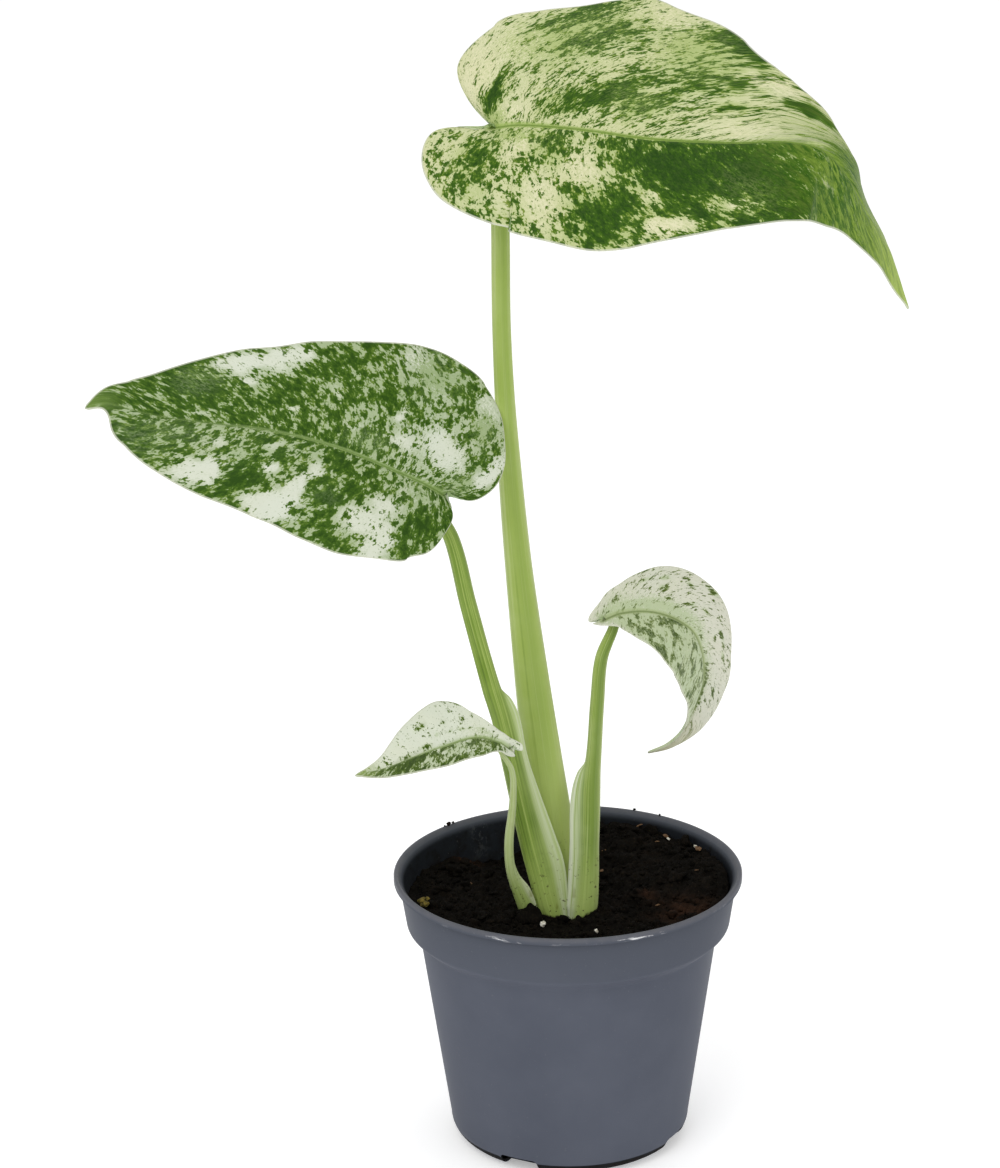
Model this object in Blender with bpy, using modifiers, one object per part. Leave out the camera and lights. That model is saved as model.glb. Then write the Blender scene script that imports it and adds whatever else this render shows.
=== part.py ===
# Potted monstera: a young plant with four variegated leaves in a plastic nursery pot.
# Metres, +Z up. The origin is the middle of the pot's flat bottom, and the plant's
# front faces -Y. Sizes in this file are millimetres, turned to metres by MM.
import random
from math import cos, exp, pi, radians, sin

import bmesh
import bpy
import numpy as np
from mathutils import Matrix, Vector, noise

MM = 0.001
OBJECT_NAME = "potted_monstera"

# Pot
POT_HEIGHT = 98.4
RIM_RADIUS = 60.6
LIP_HEIGHT = 3.0
COLLAR_TOP_RADIUS = 58.7
COLLAR_FOOT_RADIUS = 56.3
COLLAR_HEIGHT = 18.8
WALL_TOP_RADIUS = 51.9
WALL_TOP_HEIGHT = 76.0
WALL_FOOT_RADIUS = 42.0
FOOT_FILLET = 7.5
WALL = 1.5
FLOOR = 1.6
POT_SIDES = 60
DRAIN_ANGLES = (-116.0, -26.0, 64.0, 154.0)
DRAIN_WIDTH = 14.0
DRAIN_HEIGHT = 5.7

# Soil
GAP = 0.3
HOLE_GAP = 0.4
SOIL_LEVEL = 88.4
SOIL_LOWEST = 81.6
SOIL_SIDES = 48
SOIL_RINGS = 9
# The soil's foot slopes up to the wall, clear of the drain holes
SOIL_FOOT_RADIUS = 30.0
SOIL_SLOPE_HEIGHT = 9.5
CLOD_COUNT = 34
# Heaps and a hollow in the soil: x, y, size, height
SOIL_HEAPS = [(52.0, 14.0, 26.0, 5.5), (20.0, 50.0, 22.0, 6.0), (-24.0, 45.0, 13.0, -9.0),
              (-1.0, -19.0, 8.0, -1.2)]

# Stem and roots under the soil
STEM_X, STEM_Y = -3.0, -8.0
STEM_TOP = 84.0
STEM_PROFILE = [(15.5, 84.0), (16.2, 80.0), (14.0, 73.0), (10.0, 66.0), (5.0, 60.0)]
ROOT_COUNT = 7
ROOT_RADIUS = 1.7

# Petioles: x, y, z, half width, half depth, left wing, right wing, foot to top.
# The wings are the sheath's two edges, and clasp the stalk beside them.
PETIOLE_TALL = [
    (-2.2, -5.0, 84.3, 5.2, 4.2, 0.0, 0.6),
    (-2.9, -3.5, 91.5, 5.6, 4.4, 0.0, 1.4),
    (-4.0, -1.4, 103.2, 5.9, 4.5, 0.0, 1.6),
    (-5.6, 0.4, 116.6, 6.3, 4.5, 0.0, 1.1),
    (-8.2, 1.2, 138.3, 6.6, 4.4, 0.0, 0.2),
    (-11.6, 1.0, 167.8, 6.0, 4.2, 0.0, 0.0),
    (-15.9, 0.0, 211.4, 4.5, 3.8, 0.0, 0.0),
    (-19.1, -1.0, 257.4, 3.6, 3.2, 0.0, 0.0),
    (-20.3, -2.0, 292.2, 3.2, 2.9, 0.0, 0.0),
    (-20.2, -2.6, 322.8, 3.0, 2.7, 0.0, 0.0),
    (-20.1, -1.6, 346.4, 2.8, 2.5, 0.0, 0.0),
]
PETIOLE_LEFT = [
    (-5.6, -14.0, 84.3, 3.0, 2.4, 0.0, 1.2),
    (-7.9, -14.0, 92.0, 3.3, 2.6, 0.0, 3.2),
    (-10.8, -12.8, 104.0, 3.5, 2.7, 0.0, 4.6),
    (-13.3, -12.0, 114.5, 3.4, 2.7, 0.0, 4.8),
    (-16.3, -12.0, 128.8, 3.2, 2.6, 0.0, 4.2),
    (-19.1, -12.8, 143.6, 3.1, 2.6, 0.0, 3.0),
    (-22.3, -15.5, 159.5, 3.0, 2.5, 0.0, 3.6),
    (-23.9, -17.0, 166.5, 3.1, 2.5, 0.0, 2.4),
    (-25.0, -18.0, 171.0, 3.2, 2.5, 0.0, 0.0),
    (-32.3, -25.0, 203.9, 2.8, 2.4, 0.0, 0.0),
    (-37.2, -30.5, 228.5, 2.5, 2.1, 0.0, 0.0),
]
PETIOLE_RIGHT = [
    (5.1, -14.5, 84.3, 3.2, 2.6, 2.4, 0.0),
    (6.6, -14.5, 89.5, 3.4, 2.8, 3.9, 0.0),
    (7.5, -12.5, 100.2, 3.2, 2.7, 4.2, 0.0),
    (7.9, -10.0, 111.5, 3.0, 2.6, 4.1, 0.0),
    (8.3, -7.8, 121.8, 3.0, 2.5, 4.4, 0.0),
    (8.5, -6.2, 130.0, 3.0, 2.5, 3.8, 0.0),
    (8.8, -5.4, 136.0, 2.9, 2.4, 2.4, 0.0),
    (9.1, -4.9, 140.0, 2.8, 2.4, 0.0, 0.0),
    (11.1, -3.4, 161.8, 2.6, 2.3, 0.0, 0.0),
    (12.9, -2.6, 177.0, 2.4, 2.1, 0.0, 0.0),
]
PETIOLE_LOW = [
    (-12.2, -15.2, 84.3, 2.2, 1.9, 0.0, 0.6),
    (-14.8, -17.2, 91.5, 2.4, 1.9, 0.0, 1.6),
    (-17.0, -18.4, 97.5, 2.0, 1.7, 0.0, 2.2),
    (-18.9, -19.3, 103.5, 1.7, 1.6, 0.0, 0.8),
    (-19.8, -20.0, 109.0, 1.6, 1.6, 0.0, 0.0),
    (-19.9, -21.0, 118.0, 1.5, 1.5, 0.0, 0.0),
    (-18.4, -23.4, 133.0, 1.2, 1.3, 0.0, 0.0),
    (-18.6, -26.6, 145.5, 1.0, 1.1, 0.0, 0.0),
]
PETIOLE_SIDES = 16
PETIOLE_RINGS = 18

# Blades. The rib is a line of x, y, z points from the stalk to the tip. roll tips the
# blade about its rib toward the front, near_fold and far_fold lift its halves, and
# curl bends each half over its width: pairs of (share of the rib, degrees). The edges
# are (along the rib, across it), round the lobe behind the stalk and on to the tip.
BLADE_TALL = {
    "rib": [(-22.0, -6, 361), (-13.5, -7, 362), (5.5, -10, 361), (28.5, -14, 358.5), (55.5, -19, 358),
            (73, -21, 358.5), (84.5, -19, 355), (93, -13, 344.5), (100, -6, 330.5), (108.5, 2, 315),
            (115.5, 10, 295)],
    "turn": 1, "width": 50.0,
    "roll": [(0, 44), (0.6, 45), (0.8, 34), (1, 26)],
    "near_fold": [(0, 4), (1, 4)], "far_fold": [(0, 4), (0.5, 6), (0.6, -4), (0.75, -26), (1, -30)],
    "curl": (-10.0, -14.0),
    "near_edge": [(-4.5, 2), (-13, 0.3), (-20.5, 0.8), (-23.5, 7), (-22.5, 16), (-16.5, 26.5), (-1, 37),
                  (17, 42.5), (39.5, 45), (60, 39), (81, 32.4), (100, 30), (121.5, 22), (136, 14.8),
                  (152, 10.5), (168, 7.4), (182.5, 0.4)],
    "far_edge": [(-0.5, -0.5), (-8.5, -12), (-12, -25), (-7, -34.5), (7, -45), (20, -50.5), (32, -55),
                 (42, -57), (56, -52.5), (76, -41.6), (95, -25), (106, -16.6), (112, -10.8), (119, -10),
                 (134, -13), (152, -12.5), (168, -10.5), (182.5, -0.4)],
    "wave": (0.7, 34.0, 0.6), "sweep": 1.9, "arch": 0.12, "rows": 24, "columns": 14,
}
BLADE_LEFT = {
    "rib": [(-39.5, -33, 245), (-45.5, -34, 249), (-53.5, -36, 253.5), (-72.5, -41, 263.5),
            (-94, -46, 271), (-116.5, -51, 275.5), (-130, -54, 278.5), (-139, -56, 281.5),
            (-145, -57, 283.5), (-152, -58, 282.5)],
    "turn": -1, "width": 46.0,
    "roll": [(0, 36), (0.6, 36), (1, 34)],
    "near_fold": [(0, 8), (1, 6)], "far_fold": [(0, 12), (1, 8)],
    "curl": (-20.0, -8.0),
    "near_edge": [(-0.5, 0.5), (-5, 6), (-4.5, 13.5), (-1, 24.5), (7, 31.5), (20, 36), (36, 39.5),
                  (50, 39), (61, 36), (70, 34.5), (90, 27.5), (106, 18), (113.5, 10.5), (118, 2),
                  (123.5, 0.4)],
    "far_edge": [(-0.5, -0.5), (-10, -3.2), (-15.4, -11.5), (-16, -20), (-13.5, -28), (-8, -37.5),
                 (3.5, -45.8), (11, -49), (19, -48), (32, -43), (51.5, -36), (62, -31.2), (73, -28.5),
                 (94, -19.5), (110, -10.5), (119, -4.2), (123.5, -0.4)],
    "wave": (0.6, 30.0, 2.0), "sweep": 1.9, "arch": 0.12, "rows": 22, "columns": 14,
}
BLADE_RIGHT = {
    "rib": [(13.5, -4, 191.5), (18.5, -4, 193.5), (27.5, -5, 194.5), (36, -4, 192), (43.5, -2, 186),
            (47, 2, 176), (47.5, 7, 165), (45, 12, 154.5), (41, 17, 143), (35.5, 20, 136.5),
            (28.5, 22, 132.5)],
    "turn": 1, "width": 20.0,
    "roll": [(0, 38), (0.4, 42), (1, 44)],
    "near_fold": [(0, 8), (0.5, 12), (0.75, 30), (1, 30)], "far_fold": [(0, 12), (0.5, 6), (1, 2)],
    "curl": (-12.0, -20.0),
    "near_edge": [(-0.5, 0.5), (-2, 2.5), (3, 6), (8, 8.6), (14, 13), (22, 17.5), (32, 19.4), (44, 16.5),
                  (55, 13), (66.5, 8), (78, 5.5), (88, 4), (99, 0.4)],
    "far_edge": [(-0.5, -0.5), (-5.5, -1), (-5, -3), (1, -7.2), (5.5, -10.5), (10, -14), (17, -18),
                 (25, -20), (33, -19.5), (43, -17), (54, -14.5), (66, -14.5), (77, -14.5), (88, -6),
                 (99, -0.4)],
    "wave": (0.3, 22.0, 1.0), "sweep": 1.5, "arch": 0.10, "rows": 20, "columns": 10,
}
BLADE_LOW = {
    "rib": [(-19.5, -30, 155), (-22.5, -31, 157.5), (-30.5, -33, 160), (-41.5, -36, 158),
            (-48, -38, 156.5), (-54.5, -40, 154.5), (-61.5, -42, 152.5), (-70.5, -44, 151)],
    "turn": -1, "width": 16.0,
    "roll": [(0, 26), (1, 24)],
    "near_fold": [(0, 24), (1, 16)], "far_fold": [(0, 16), (1, 10)],
    "curl": (-14.0, -6.0),
    "near_edge": [(-0.5, 0.5), (-2.5, 2.5), (0, 5), (6, 7), (14, 12.8), (23.5, 13), (32, 12), (40, 9),
                  (47.5, 5.5), (52, 2.8), (55, 0.3)],
    "far_edge": [(-0.5, -0.5), (-5.5, -2), (-4.5, -4), (2.5, -3.5), (8.5, -6.2), (12, -9.3), (15.5, -15),
                 (20, -18), (26, -16.8), (34.5, -12.5), (44, -5.5), (50.5, -2), (55, -0.3)],
    "wave": (0.2, 18.0, 0.0), "sweep": 1.5, "arch": 0.10, "rows": 16, "columns": 8,
}
BLADE_THICKNESS = 0.8
RIB_THICKNESS = 1.7

for old in list(bpy.data.objects):
    bpy.data.objects.remove(old, do_unlink=True)

parts = bpy.data.collections.new(OBJECT_NAME)
cutters = bpy.data.collections.new("cutters")
for group in (parts, cutters):
    bpy.context.scene.collection.children.link(group)


def make_material(name, colour, roughness, metallic=0.0):
    material = bpy.data.materials.new(name)
    material.use_nodes = True
    shader = material.node_tree.nodes["Principled BSDF"]
    shader.inputs["Base Color"].default_value = (*colour, 1.0)
    shader.inputs["Roughness"].default_value = roughness
    shader.inputs["Metallic"].default_value = metallic
    material.diffuse_color = (*colour, 1.0)
    return material


pot_plastic = make_material("pot_plastic", (0.10, 0.12, 0.15), 0.45)
dark_soil = make_material("dark_soil", (0.012, 0.009, 0.006), 0.95)
pale_stem = make_material("pale_stem", (0.36, 0.48, 0.12), 0.5)
leaf_skin = make_material("leaf_skin", (0.25, 0.38, 0.14), 0.4)
root_bark = make_material("root_bark", (0.45, 0.33, 0.18), 0.8)


def add_object(name, mesh, material, group):
    thing = bpy.data.objects.new(name, mesh)
    group.objects.link(thing)
    if material:
        mesh.materials.append(material)
    if group is cutters:
        thing.hide_render = True
        thing.display_type = "WIRE"
    return thing


def mesh_from(builder, name):
    mesh = bpy.data.meshes.new(name)
    builder.to_mesh(mesh)
    builder.free()
    return mesh


def turned(name, profile, sides, material, group, middle=(0.0, 0.0)):
    """A closed turned shape: profile points (radius, height) from the axis round to the axis."""
    builder = bmesh.new()
    corners = [builder.verts.new((r * MM, 0.0, z * MM)) for r, z in profile]
    for start, end in zip(corners, corners[1:]):
        builder.edges.new((start, end))
    thing = add_object(name, mesh_from(builder, name), material, group)
    thing.location = (middle[0] * MM, middle[1] * MM, 0.0)
    screw = thing.modifiers.new("turn", "SCREW")
    screw.steps = screw.render_steps = sides
    screw.use_merge_vertices = True
    screw.merge_threshold = 0.00001
    screw.use_smooth_shade = False
    return thing


def applied(thing):
    """The same object with its modifiers made part of its mesh."""
    bpy.context.view_layer.update()
    seen = thing.evaluated_get(bpy.context.evaluated_depsgraph_get())
    mesh = bpy.data.meshes.new_from_object(seen)
    thing.modifiers.clear()
    thing.data = mesh
    return thing


def boolean(thing, other, operation):
    change = thing.modifiers.new(operation.lower(), "BOOLEAN")
    change.operation = operation
    change.object = other
    change.solver = "EXACT"


def smooth_line(points, count):
    """A smooth line through the points, cut into evenly spaced ones."""
    points = np.asarray(points, float)
    line = np.vstack([2 * points[0] - points[1], points, 2 * points[-1] - points[-2]])
    fine = []
    for i in range(1, len(line) - 2):
        before, start, end, after = line[i - 1:i + 3]
        step = np.linalg.norm((end - start)[:3])
        leave = (end - before) * step / (np.linalg.norm((start - before)[:3]) + step)
        arrive = (after - start) * step / (step + np.linalg.norm((after - end)[:3]))
        for t in np.linspace(0, 1, 24, endpoint=False):
            fine.append((2 * t ** 3 - 3 * t ** 2 + 1) * start + (t ** 3 - 2 * t ** 2 + t) * leave
                        + (3 * t ** 2 - 2 * t ** 3) * end + (t ** 3 - t ** 2) * arrive)
    fine = np.array(fine + [points[-1]])
    steps = np.linalg.norm(np.diff(fine[:, :3], axis=0), axis=1)
    along = np.concatenate([[0], np.cumsum(steps)])
    at = np.linspace(0, along[-1], count)
    return np.stack([np.interp(at, along, fine[:, k]) for k in range(fine.shape[1])], -1), along[-1]


class Blade:
    """Maps a flat leaf outline onto its arched, folded and rolled surface."""

    SAMPLES = 301

    def __init__(self, design):
        self.design = design
        self.rib, self.length = smooth_line(design["rib"], self.SAMPLES)
        self.share = np.linspace(0, 1, self.SAMPLES)
        tangent = np.gradient(self.rib, axis=0)
        tangent /= np.linalg.norm(tangent, axis=1)[:, None]
        front = np.array([0.0, -1.0, 0.0])
        side = front - (tangent @ front)[:, None] * tangent
        side /= np.linalg.norm(side, axis=1)[:, None]
        up = design["turn"] * np.cross(side, tangent)
        roll = np.radians(self.ramp("roll", self.share))[:, None]
        self.tangent = tangent
        self.side = np.cos(roll) * side - np.sin(roll) * up
        self.up = np.cos(roll) * up + np.sin(roll) * side
        self.near_edge = smooth_line(design["near_edge"], 201)[0]
        self.far_edge = smooth_line(design["far_edge"], 201)[0]

    def ramp(self, key, share):
        steps = self.design[key]
        return np.interp(share, [s[0] for s in steps], [s[1] for s in steps])

    def along_rib(self, values, share):
        return np.stack([np.interp(share, self.share, values[:, k]) for k in range(3)], -1)

    def place(self, along, across):
        """The surface point of a flat one; across is positive on the near half."""
        design = self.design
        share = np.clip(along / self.length, 0, 1)
        tangent = self.along_rib(self.tangent, share)
        side = self.along_rib(self.side, share)
        up = self.along_rib(self.up, share)
        past = np.minimum(along, 0) + np.maximum(along - self.length, 0)
        middle = self.along_rib(self.rib, share) + tangent * past[..., None]
        near = across >= 0
        fold = np.radians(np.where(near, self.ramp("near_fold", share), self.ramp("far_fold", share)))
        width = np.abs(across)
        bend = np.radians(np.where(near, *design["curl"])) * width / design["width"]
        bend = np.where(np.abs(bend) < 1e-4, 1e-4, bend)
        out = width * (np.sin(fold + bend) - np.sin(fold)) / bend
        rise = width * (np.cos(fold) - np.cos(fold + bend)) / bend
        height, pitch, lag = design["wave"]
        rise += height * (width / design["width"]) ** 2 * np.sin(2 * pi * along / pitch + lag + 2.1 * near)
        return middle + side * (out * np.where(near, 1, -1))[..., None] + up * rise[..., None]

    def flat(self, row, column):
        """Flat point of a grid place: row 0..1 from stalk to tip, column -1..1 from far to near edge."""
        root = self.length * row ** self.design["sweep"]
        share = np.abs(column)
        steps = np.linspace(0, 1, 201)
        halves = []
        for edge in (self.near_edge, self.far_edge):
            end_along = np.interp(row, steps, edge[:, 0])
            end_across = np.interp(row, steps, edge[:, 1])
            mid_along = 0.5 * (root + end_along) - self.design["arch"] * np.abs(end_across)
            along = (1 - share) ** 2 * root + 2 * share * (1 - share) * mid_along + share ** 2 * end_along
            halves.append((along, share * end_across))
        near = column >= 0
        return np.where(near, halves[0][0], halves[1][0]), np.where(near, halves[0][1], halves[1][1])

    def point(self, row, column):
        along, across = self.flat(np.asarray(row, float), np.asarray(column, float))
        return self.place(along, across)

    def seat(self, inward):
        """The point under the rib that the stalk's top meets, and the way it leaves the blade."""
        share = np.array(inward / self.length)
        up = self.along_rib(self.up, share)
        return self.along_rib(self.rib, share) - up * (RIB_THICKNESS + GAP), -up


def make_blade(name, design):
    """A leaf blade: a grid laid on the mapped surface, split into triangles and thickened below."""
    blade = Blade(design)
    rows, columns = design["rows"], design["columns"]
    builder = bmesh.new()
    bmesh.ops.create_grid(builder, x_segments=columns, y_segments=rows, size=1.0)
    layer = builder.verts.layers.deform.verify()
    ends = ([], [])
    for vert in builder.verts:
        row, column = 0.5 * (vert.co.y + 1), vert.co.x
        vert.co = Vector(blade.point(row, column) * MM)
        stalk_end, tip = row < 0.001, row > 0.999
        vert[layer][0] = 1.0 if stalk_end or (abs(column) < 0.01 and not tip) else 0.0
        if stalk_end or tip:
            ends[tip].append(vert)
    for verts, share in zip(ends, (0.0, 1.0)):
        bmesh.ops.pointmerge(builder, verts=verts, merge_co=Vector(blade.point(share, 0.0) * MM))
    if design["turn"] < 0:
        bmesh.ops.reverse_faces(builder, faces=builder.faces)
    bmesh.ops.triangulate(builder, faces=builder.faces)
    thing = add_object(name, mesh_from(builder, name), leaf_skin, parts)
    thing.vertex_groups.new(name="rib")
    skin = thing.modifiers.new("thickness", "SOLIDIFY")
    skin.thickness = RIB_THICKNESS * MM
    skin.offset = -1.0
    skin.vertex_group = "rib"
    skin.thickness_vertex_group = BLADE_THICKNESS / RIB_THICKNESS
    skin.use_even_offset = False
    return blade


def petiole_rings(stations, seat, rings, sides, grow=0.0):
    """Rings of points round a stalk, from its foot to its seat under the blade."""
    top, leave = seat
    half_width, half_depth = stations[-1][3] * 0.8, stations[-1][4] * 0.8
    reach = 2.2 * half_width
    knee = np.concatenate([top + leave * reach, [half_width, half_depth, 0.0, 0.0]])
    end = np.concatenate([top, [half_width, half_depth, 0.0, 0.0]])
    line, _ = smooth_line(np.vstack([np.array(stations, float), knee, end]), rings)
    heading = np.gradient(line[:, :3], axis=0)
    heading[0] = (0.0, 0.0, 1.0)
    heading[-1] = -leave
    heading /= np.linalg.norm(heading, axis=1)[:, None]
    across = np.cross(heading, (0.0, -1.0, 0.0))
    across /= np.linalg.norm(across, axis=1)[:, None]
    front = np.cross(heading, across)
    turn = np.linspace(0, 2 * pi, sides, endpoint=False)
    right = np.exp(-(np.minimum(turn, 2 * pi - turn) / 0.42) ** 2)
    left = np.exp(-((turn - pi) / 0.42) ** 2)
    points = []
    for k in range(rings):
        half_width, half_depth, wing_left, wing_right = line[k, 3:]
        wide = (half_width + grow) * np.cos(turn) + (wing_right + grow * (wing_right > 0)) * right
        wide = wide - (wing_left + grow * (wing_left > 0)) * left
        deep = (half_depth + grow) * np.sin(turn)
        points.append(line[k, :3] + wide[:, None] * across[k] + deep[:, None] * front[k])
    return np.array(points)


def loft(name, rings, material, group):
    """A closed tube through rings of points, with flat ends."""
    builder = bmesh.new()
    loops = [[builder.verts.new(Vector(p * MM)) for p in ring] for ring in rings]
    sides = len(loops[0])
    for low, high in zip(loops, loops[1:]):
        for k in range(sides):
            builder.faces.new((low[k], low[(k + 1) % sides], high[(k + 1) % sides], high[k]))
    builder.faces.new(list(reversed(loops[0])))
    builder.faces.new(loops[-1])
    bmesh.ops.recalc_face_normals(builder, faces=builder.faces)
    bmesh.ops.triangulate(builder, faces=builder.faces)
    return add_object(name, mesh_from(builder, name), material, group)


def root_lines():
    """Centre lines of the thick roots, down and out from the stem and round the pot."""
    draw = random.Random(11)
    lines = []
    for k in range(ROOT_COUNT):
        angle = 2 * pi * (k + 0.35 * draw.random()) / ROOT_COUNT
        reach = draw.uniform(24.0, 31.0)
        bottom = draw.uniform(12.0, 24.0)
        swing = draw.uniform(0.25, 0.5)
        line = []
        for t in np.linspace(0, 1, 9):
            radius = 5.0 + reach * t ** 0.7
            turn = angle + swing * t
            height = 76.0 + (bottom - 76.0) * t ** 1.25
            middle_x, middle_y = STEM_X * (1 - t), STEM_Y * (1 - t)
            line.append((middle_x + radius * cos(turn), middle_y + radius * sin(turn), height))
        lines.append(line)
    return lines


def make_tube(name, line, radius, end_share, material, group):
    """A round tapering tube along a line, as a closed mesh."""
    curve = bpy.data.curves.new(name, "CURVE")
    curve.dimensions = "3D"
    curve.bevel_depth = MM
    curve.bevel_resolution = 2
    curve.use_fill_caps = True
    spline = curve.splines.new("POLY")
    spline.points.add(len(line) - 1)
    for k, (point, place) in enumerate(zip(spline.points, line)):
        point.co = (*(np.array(place) * MM), 1.0)
        point.radius = radius * (1 + (end_share - 1) * k / (len(line) - 1))
    thing = bpy.data.objects.new(name + "_line", curve)
    group.objects.link(thing)
    bpy.context.view_layer.update()
    seen = thing.evaluated_get(bpy.context.evaluated_depsgraph_get())
    mesh = bpy.data.meshes.new_from_object(seen)
    builder = bmesh.new()
    builder.from_mesh(mesh)
    bmesh.ops.remove_doubles(builder, verts=builder.verts, dist=0.000001)
    bmesh.ops.recalc_face_normals(builder, faces=builder.faces)
    bpy.data.objects.remove(thing, do_unlink=True)
    bpy.data.meshes.remove(mesh)
    return add_object(name, mesh_from(builder, name), material, group)


# Pot: one turned wall with its lip and collar, and four drain holes in the bottom edge.
def wall_radius(height):
    return WALL_FOOT_RADIUS + (WALL_TOP_RADIUS - WALL_FOOT_RADIUS) * (height - FOOT_FILLET) / (
        WALL_TOP_HEIGHT - FOOT_FILLET)


def pot_profile():
    top, foot = POT_HEIGHT, COLLAR_HEIGHT
    inside = [(0.0, FLOOR)]
    for k in range(4):
        angle = radians(90.0 * k / 3)
        inside.append((WALL_FOOT_RADIUS - WALL - (FOOT_FILLET - WALL) * (1 - sin(angle)),
                       FLOOR + (FOOT_FILLET - WALL) * (1 - cos(angle))))
    inside += [(WALL_TOP_RADIUS - WALL, WALL_TOP_HEIGHT + 0.6),
               (COLLAR_FOOT_RADIUS - WALL, top - foot + 0.8),
               (COLLAR_TOP_RADIUS - WALL, top - LIP_HEIGHT),
               (RIM_RADIUS - 2.4, top - 0.7), (RIM_RADIUS - 1.9, top)]
    outside = [(RIM_RADIUS - 0.7, top), (RIM_RADIUS, top - 0.8), (RIM_RADIUS, top - LIP_HEIGHT + 0.5),
               (RIM_RADIUS - 0.5, top - LIP_HEIGHT), (COLLAR_TOP_RADIUS, top - LIP_HEIGHT - 0.1),
               (COLLAR_FOOT_RADIUS, top - foot), (WALL_TOP_RADIUS, WALL_TOP_HEIGHT)]
    outside.append((wall_radius(FOOT_FILLET), FOOT_FILLET))
    for k in range(1, 4):
        angle = radians(90.0 * k / 3)
        outside.append((WALL_FOOT_RADIUS - FOOT_FILLET * (1 - cos(angle)), FOOT_FILLET * (1 - sin(angle))))
    return inside + outside + [(0.0, 0.0)]


pot = turned("pot", pot_profile(), POT_SIDES, pot_plastic, parts)
for number, angle in enumerate(DRAIN_ANGLES):
    builder = bmesh.new()
    bmesh.ops.create_cube(builder, size=1.0)
    bmesh.ops.scale(builder, vec=(18.0 * MM, DRAIN_WIDTH * MM, 2 * DRAIN_HEIGHT * MM), verts=builder.verts)
    upright = [e for e in builder.edges if abs(e.verts[0].co.y - e.verts[1].co.y) < 1e-9
               and abs(e.verts[0].co.z - e.verts[1].co.z) < 1e-9 and e.verts[0].co.z > 0]
    bmesh.ops.bevel(builder, geom=upright, offset=1.6 * MM, segments=3, profile=0.5, affect="EDGES")
    place = Matrix.Rotation(radians(angle), 4, "Z") @ Matrix.Translation((41.5 * MM, 0.0, 0.0))
    bmesh.ops.transform(builder, matrix=place, verts=builder.verts)
    cutter = add_object("drain_%d" % number, mesh_from(builder, "drain_%d" % number), None, cutters)
    boolean(pot, cutter, "DIFFERENCE")

# Blades and the stalks that carry them.
leaves = (("tall", BLADE_TALL, PETIOLE_TALL, 2.4), ("left", BLADE_LEFT, PETIOLE_LEFT, 2.2),
          ("right", BLADE_RIGHT, PETIOLE_RIGHT, 1.6), ("low", BLADE_LOW, PETIOLE_LOW, 1.4))
for name, blade_design, stations, inward in leaves:
    blade = make_blade("blade_" + name, blade_design)
    seat = blade.seat(inward)
    loft("petiole_" + name, petiole_rings(stations, seat, PETIOLE_RINGS, PETIOLE_SIDES), pale_stem, parts)
    wide = petiole_rings(stations, seat, 40, PETIOLE_SIDES, grow=HOLE_GAP)
    keep = [ring for ring in wide if ring[:, 2].mean() < 112.0]
    keep[0] = keep[0] - np.array([0.0, 0.0, 1.5])
    loft("hole_" + name, keep, None, cutters)

# Stem and roots, one piece under the soil: the roots are joined to the stem in one go.
roots = bpy.data.collections.new("roots")
bpy.context.scene.collection.children.link(roots)
stem = turned("stem_base", [(0.0, STEM_TOP)] + STEM_PROFILE + [(0.0, STEM_PROFILE[-1][1])], 20, root_bark,
              parts, (STEM_X, STEM_Y))
shaft_profile = [(r + HOLE_GAP, z + (HOLE_GAP if k == 0 else 0.0)) for k, (r, z) in enumerate(STEM_PROFILE)]
shaft_foot = STEM_PROFILE[-1][1] - HOLE_GAP
shaft = turned("stem_hole", [(0.0, shaft_profile[0][1])] + shaft_profile + [(0.0, shaft_foot)], 20, None,
               cutters, (STEM_X, STEM_Y))
root_holes = []
for number, line in enumerate(root_lines()):
    make_tube("root_%d" % number, line, ROOT_RADIUS, 0.55, root_bark, roots)
    hole_line = line[:-1] + [(line[-1][0], line[-1][1], line[-1][2] - 0.8)]
    hole = make_tube("root_hole_%d" % number, hole_line, ROOT_RADIUS + HOLE_GAP, 0.65, None, cutters)
    root_holes.append(hole)
join = stem.modifiers.new("roots", "BOOLEAN")
join.operation = "UNION"
join.operand_type = "COLLECTION"
join.collection = roots
join.solver = "EXACT"
applied(stem)
for root in list(roots.objects):
    bpy.data.objects.remove(root, do_unlink=True)
bpy.data.collections.remove(roots)


# Soil: fills the pot, with an uneven crumbled top, and holes for the stem and roots.
def soil_height(x, y):
    """Height of the soil's top: heaped on the right, hollow at the back left, with clods."""
    level = SOIL_LEVEL + 0.01 * x
    level += 1.1 * noise.noise(Vector((x / 14.0, y / 14.0, 3.0)))
    level += 0.6 * noise.noise(Vector((x / 5.0, y / 5.0, 8.0)))
    for heap_x, heap_y, size, height in SOIL_HEAPS + clods:
        level += height * exp(-((x - heap_x) ** 2 + (y - heap_y) ** 2) / size ** 2)
    return max(level, SOIL_LOWEST)


draw = random.Random(5)
clods = []
for k in range(CLOD_COUNT):
    distance, angle = 52.0 * draw.random() ** 0.5, draw.uniform(0.0, 2 * pi)
    size, height = draw.uniform(2.6, 5.0), draw.uniform(0.3, 1.6)
    clods.append((distance * cos(angle), distance * sin(angle), size, height))

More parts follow.
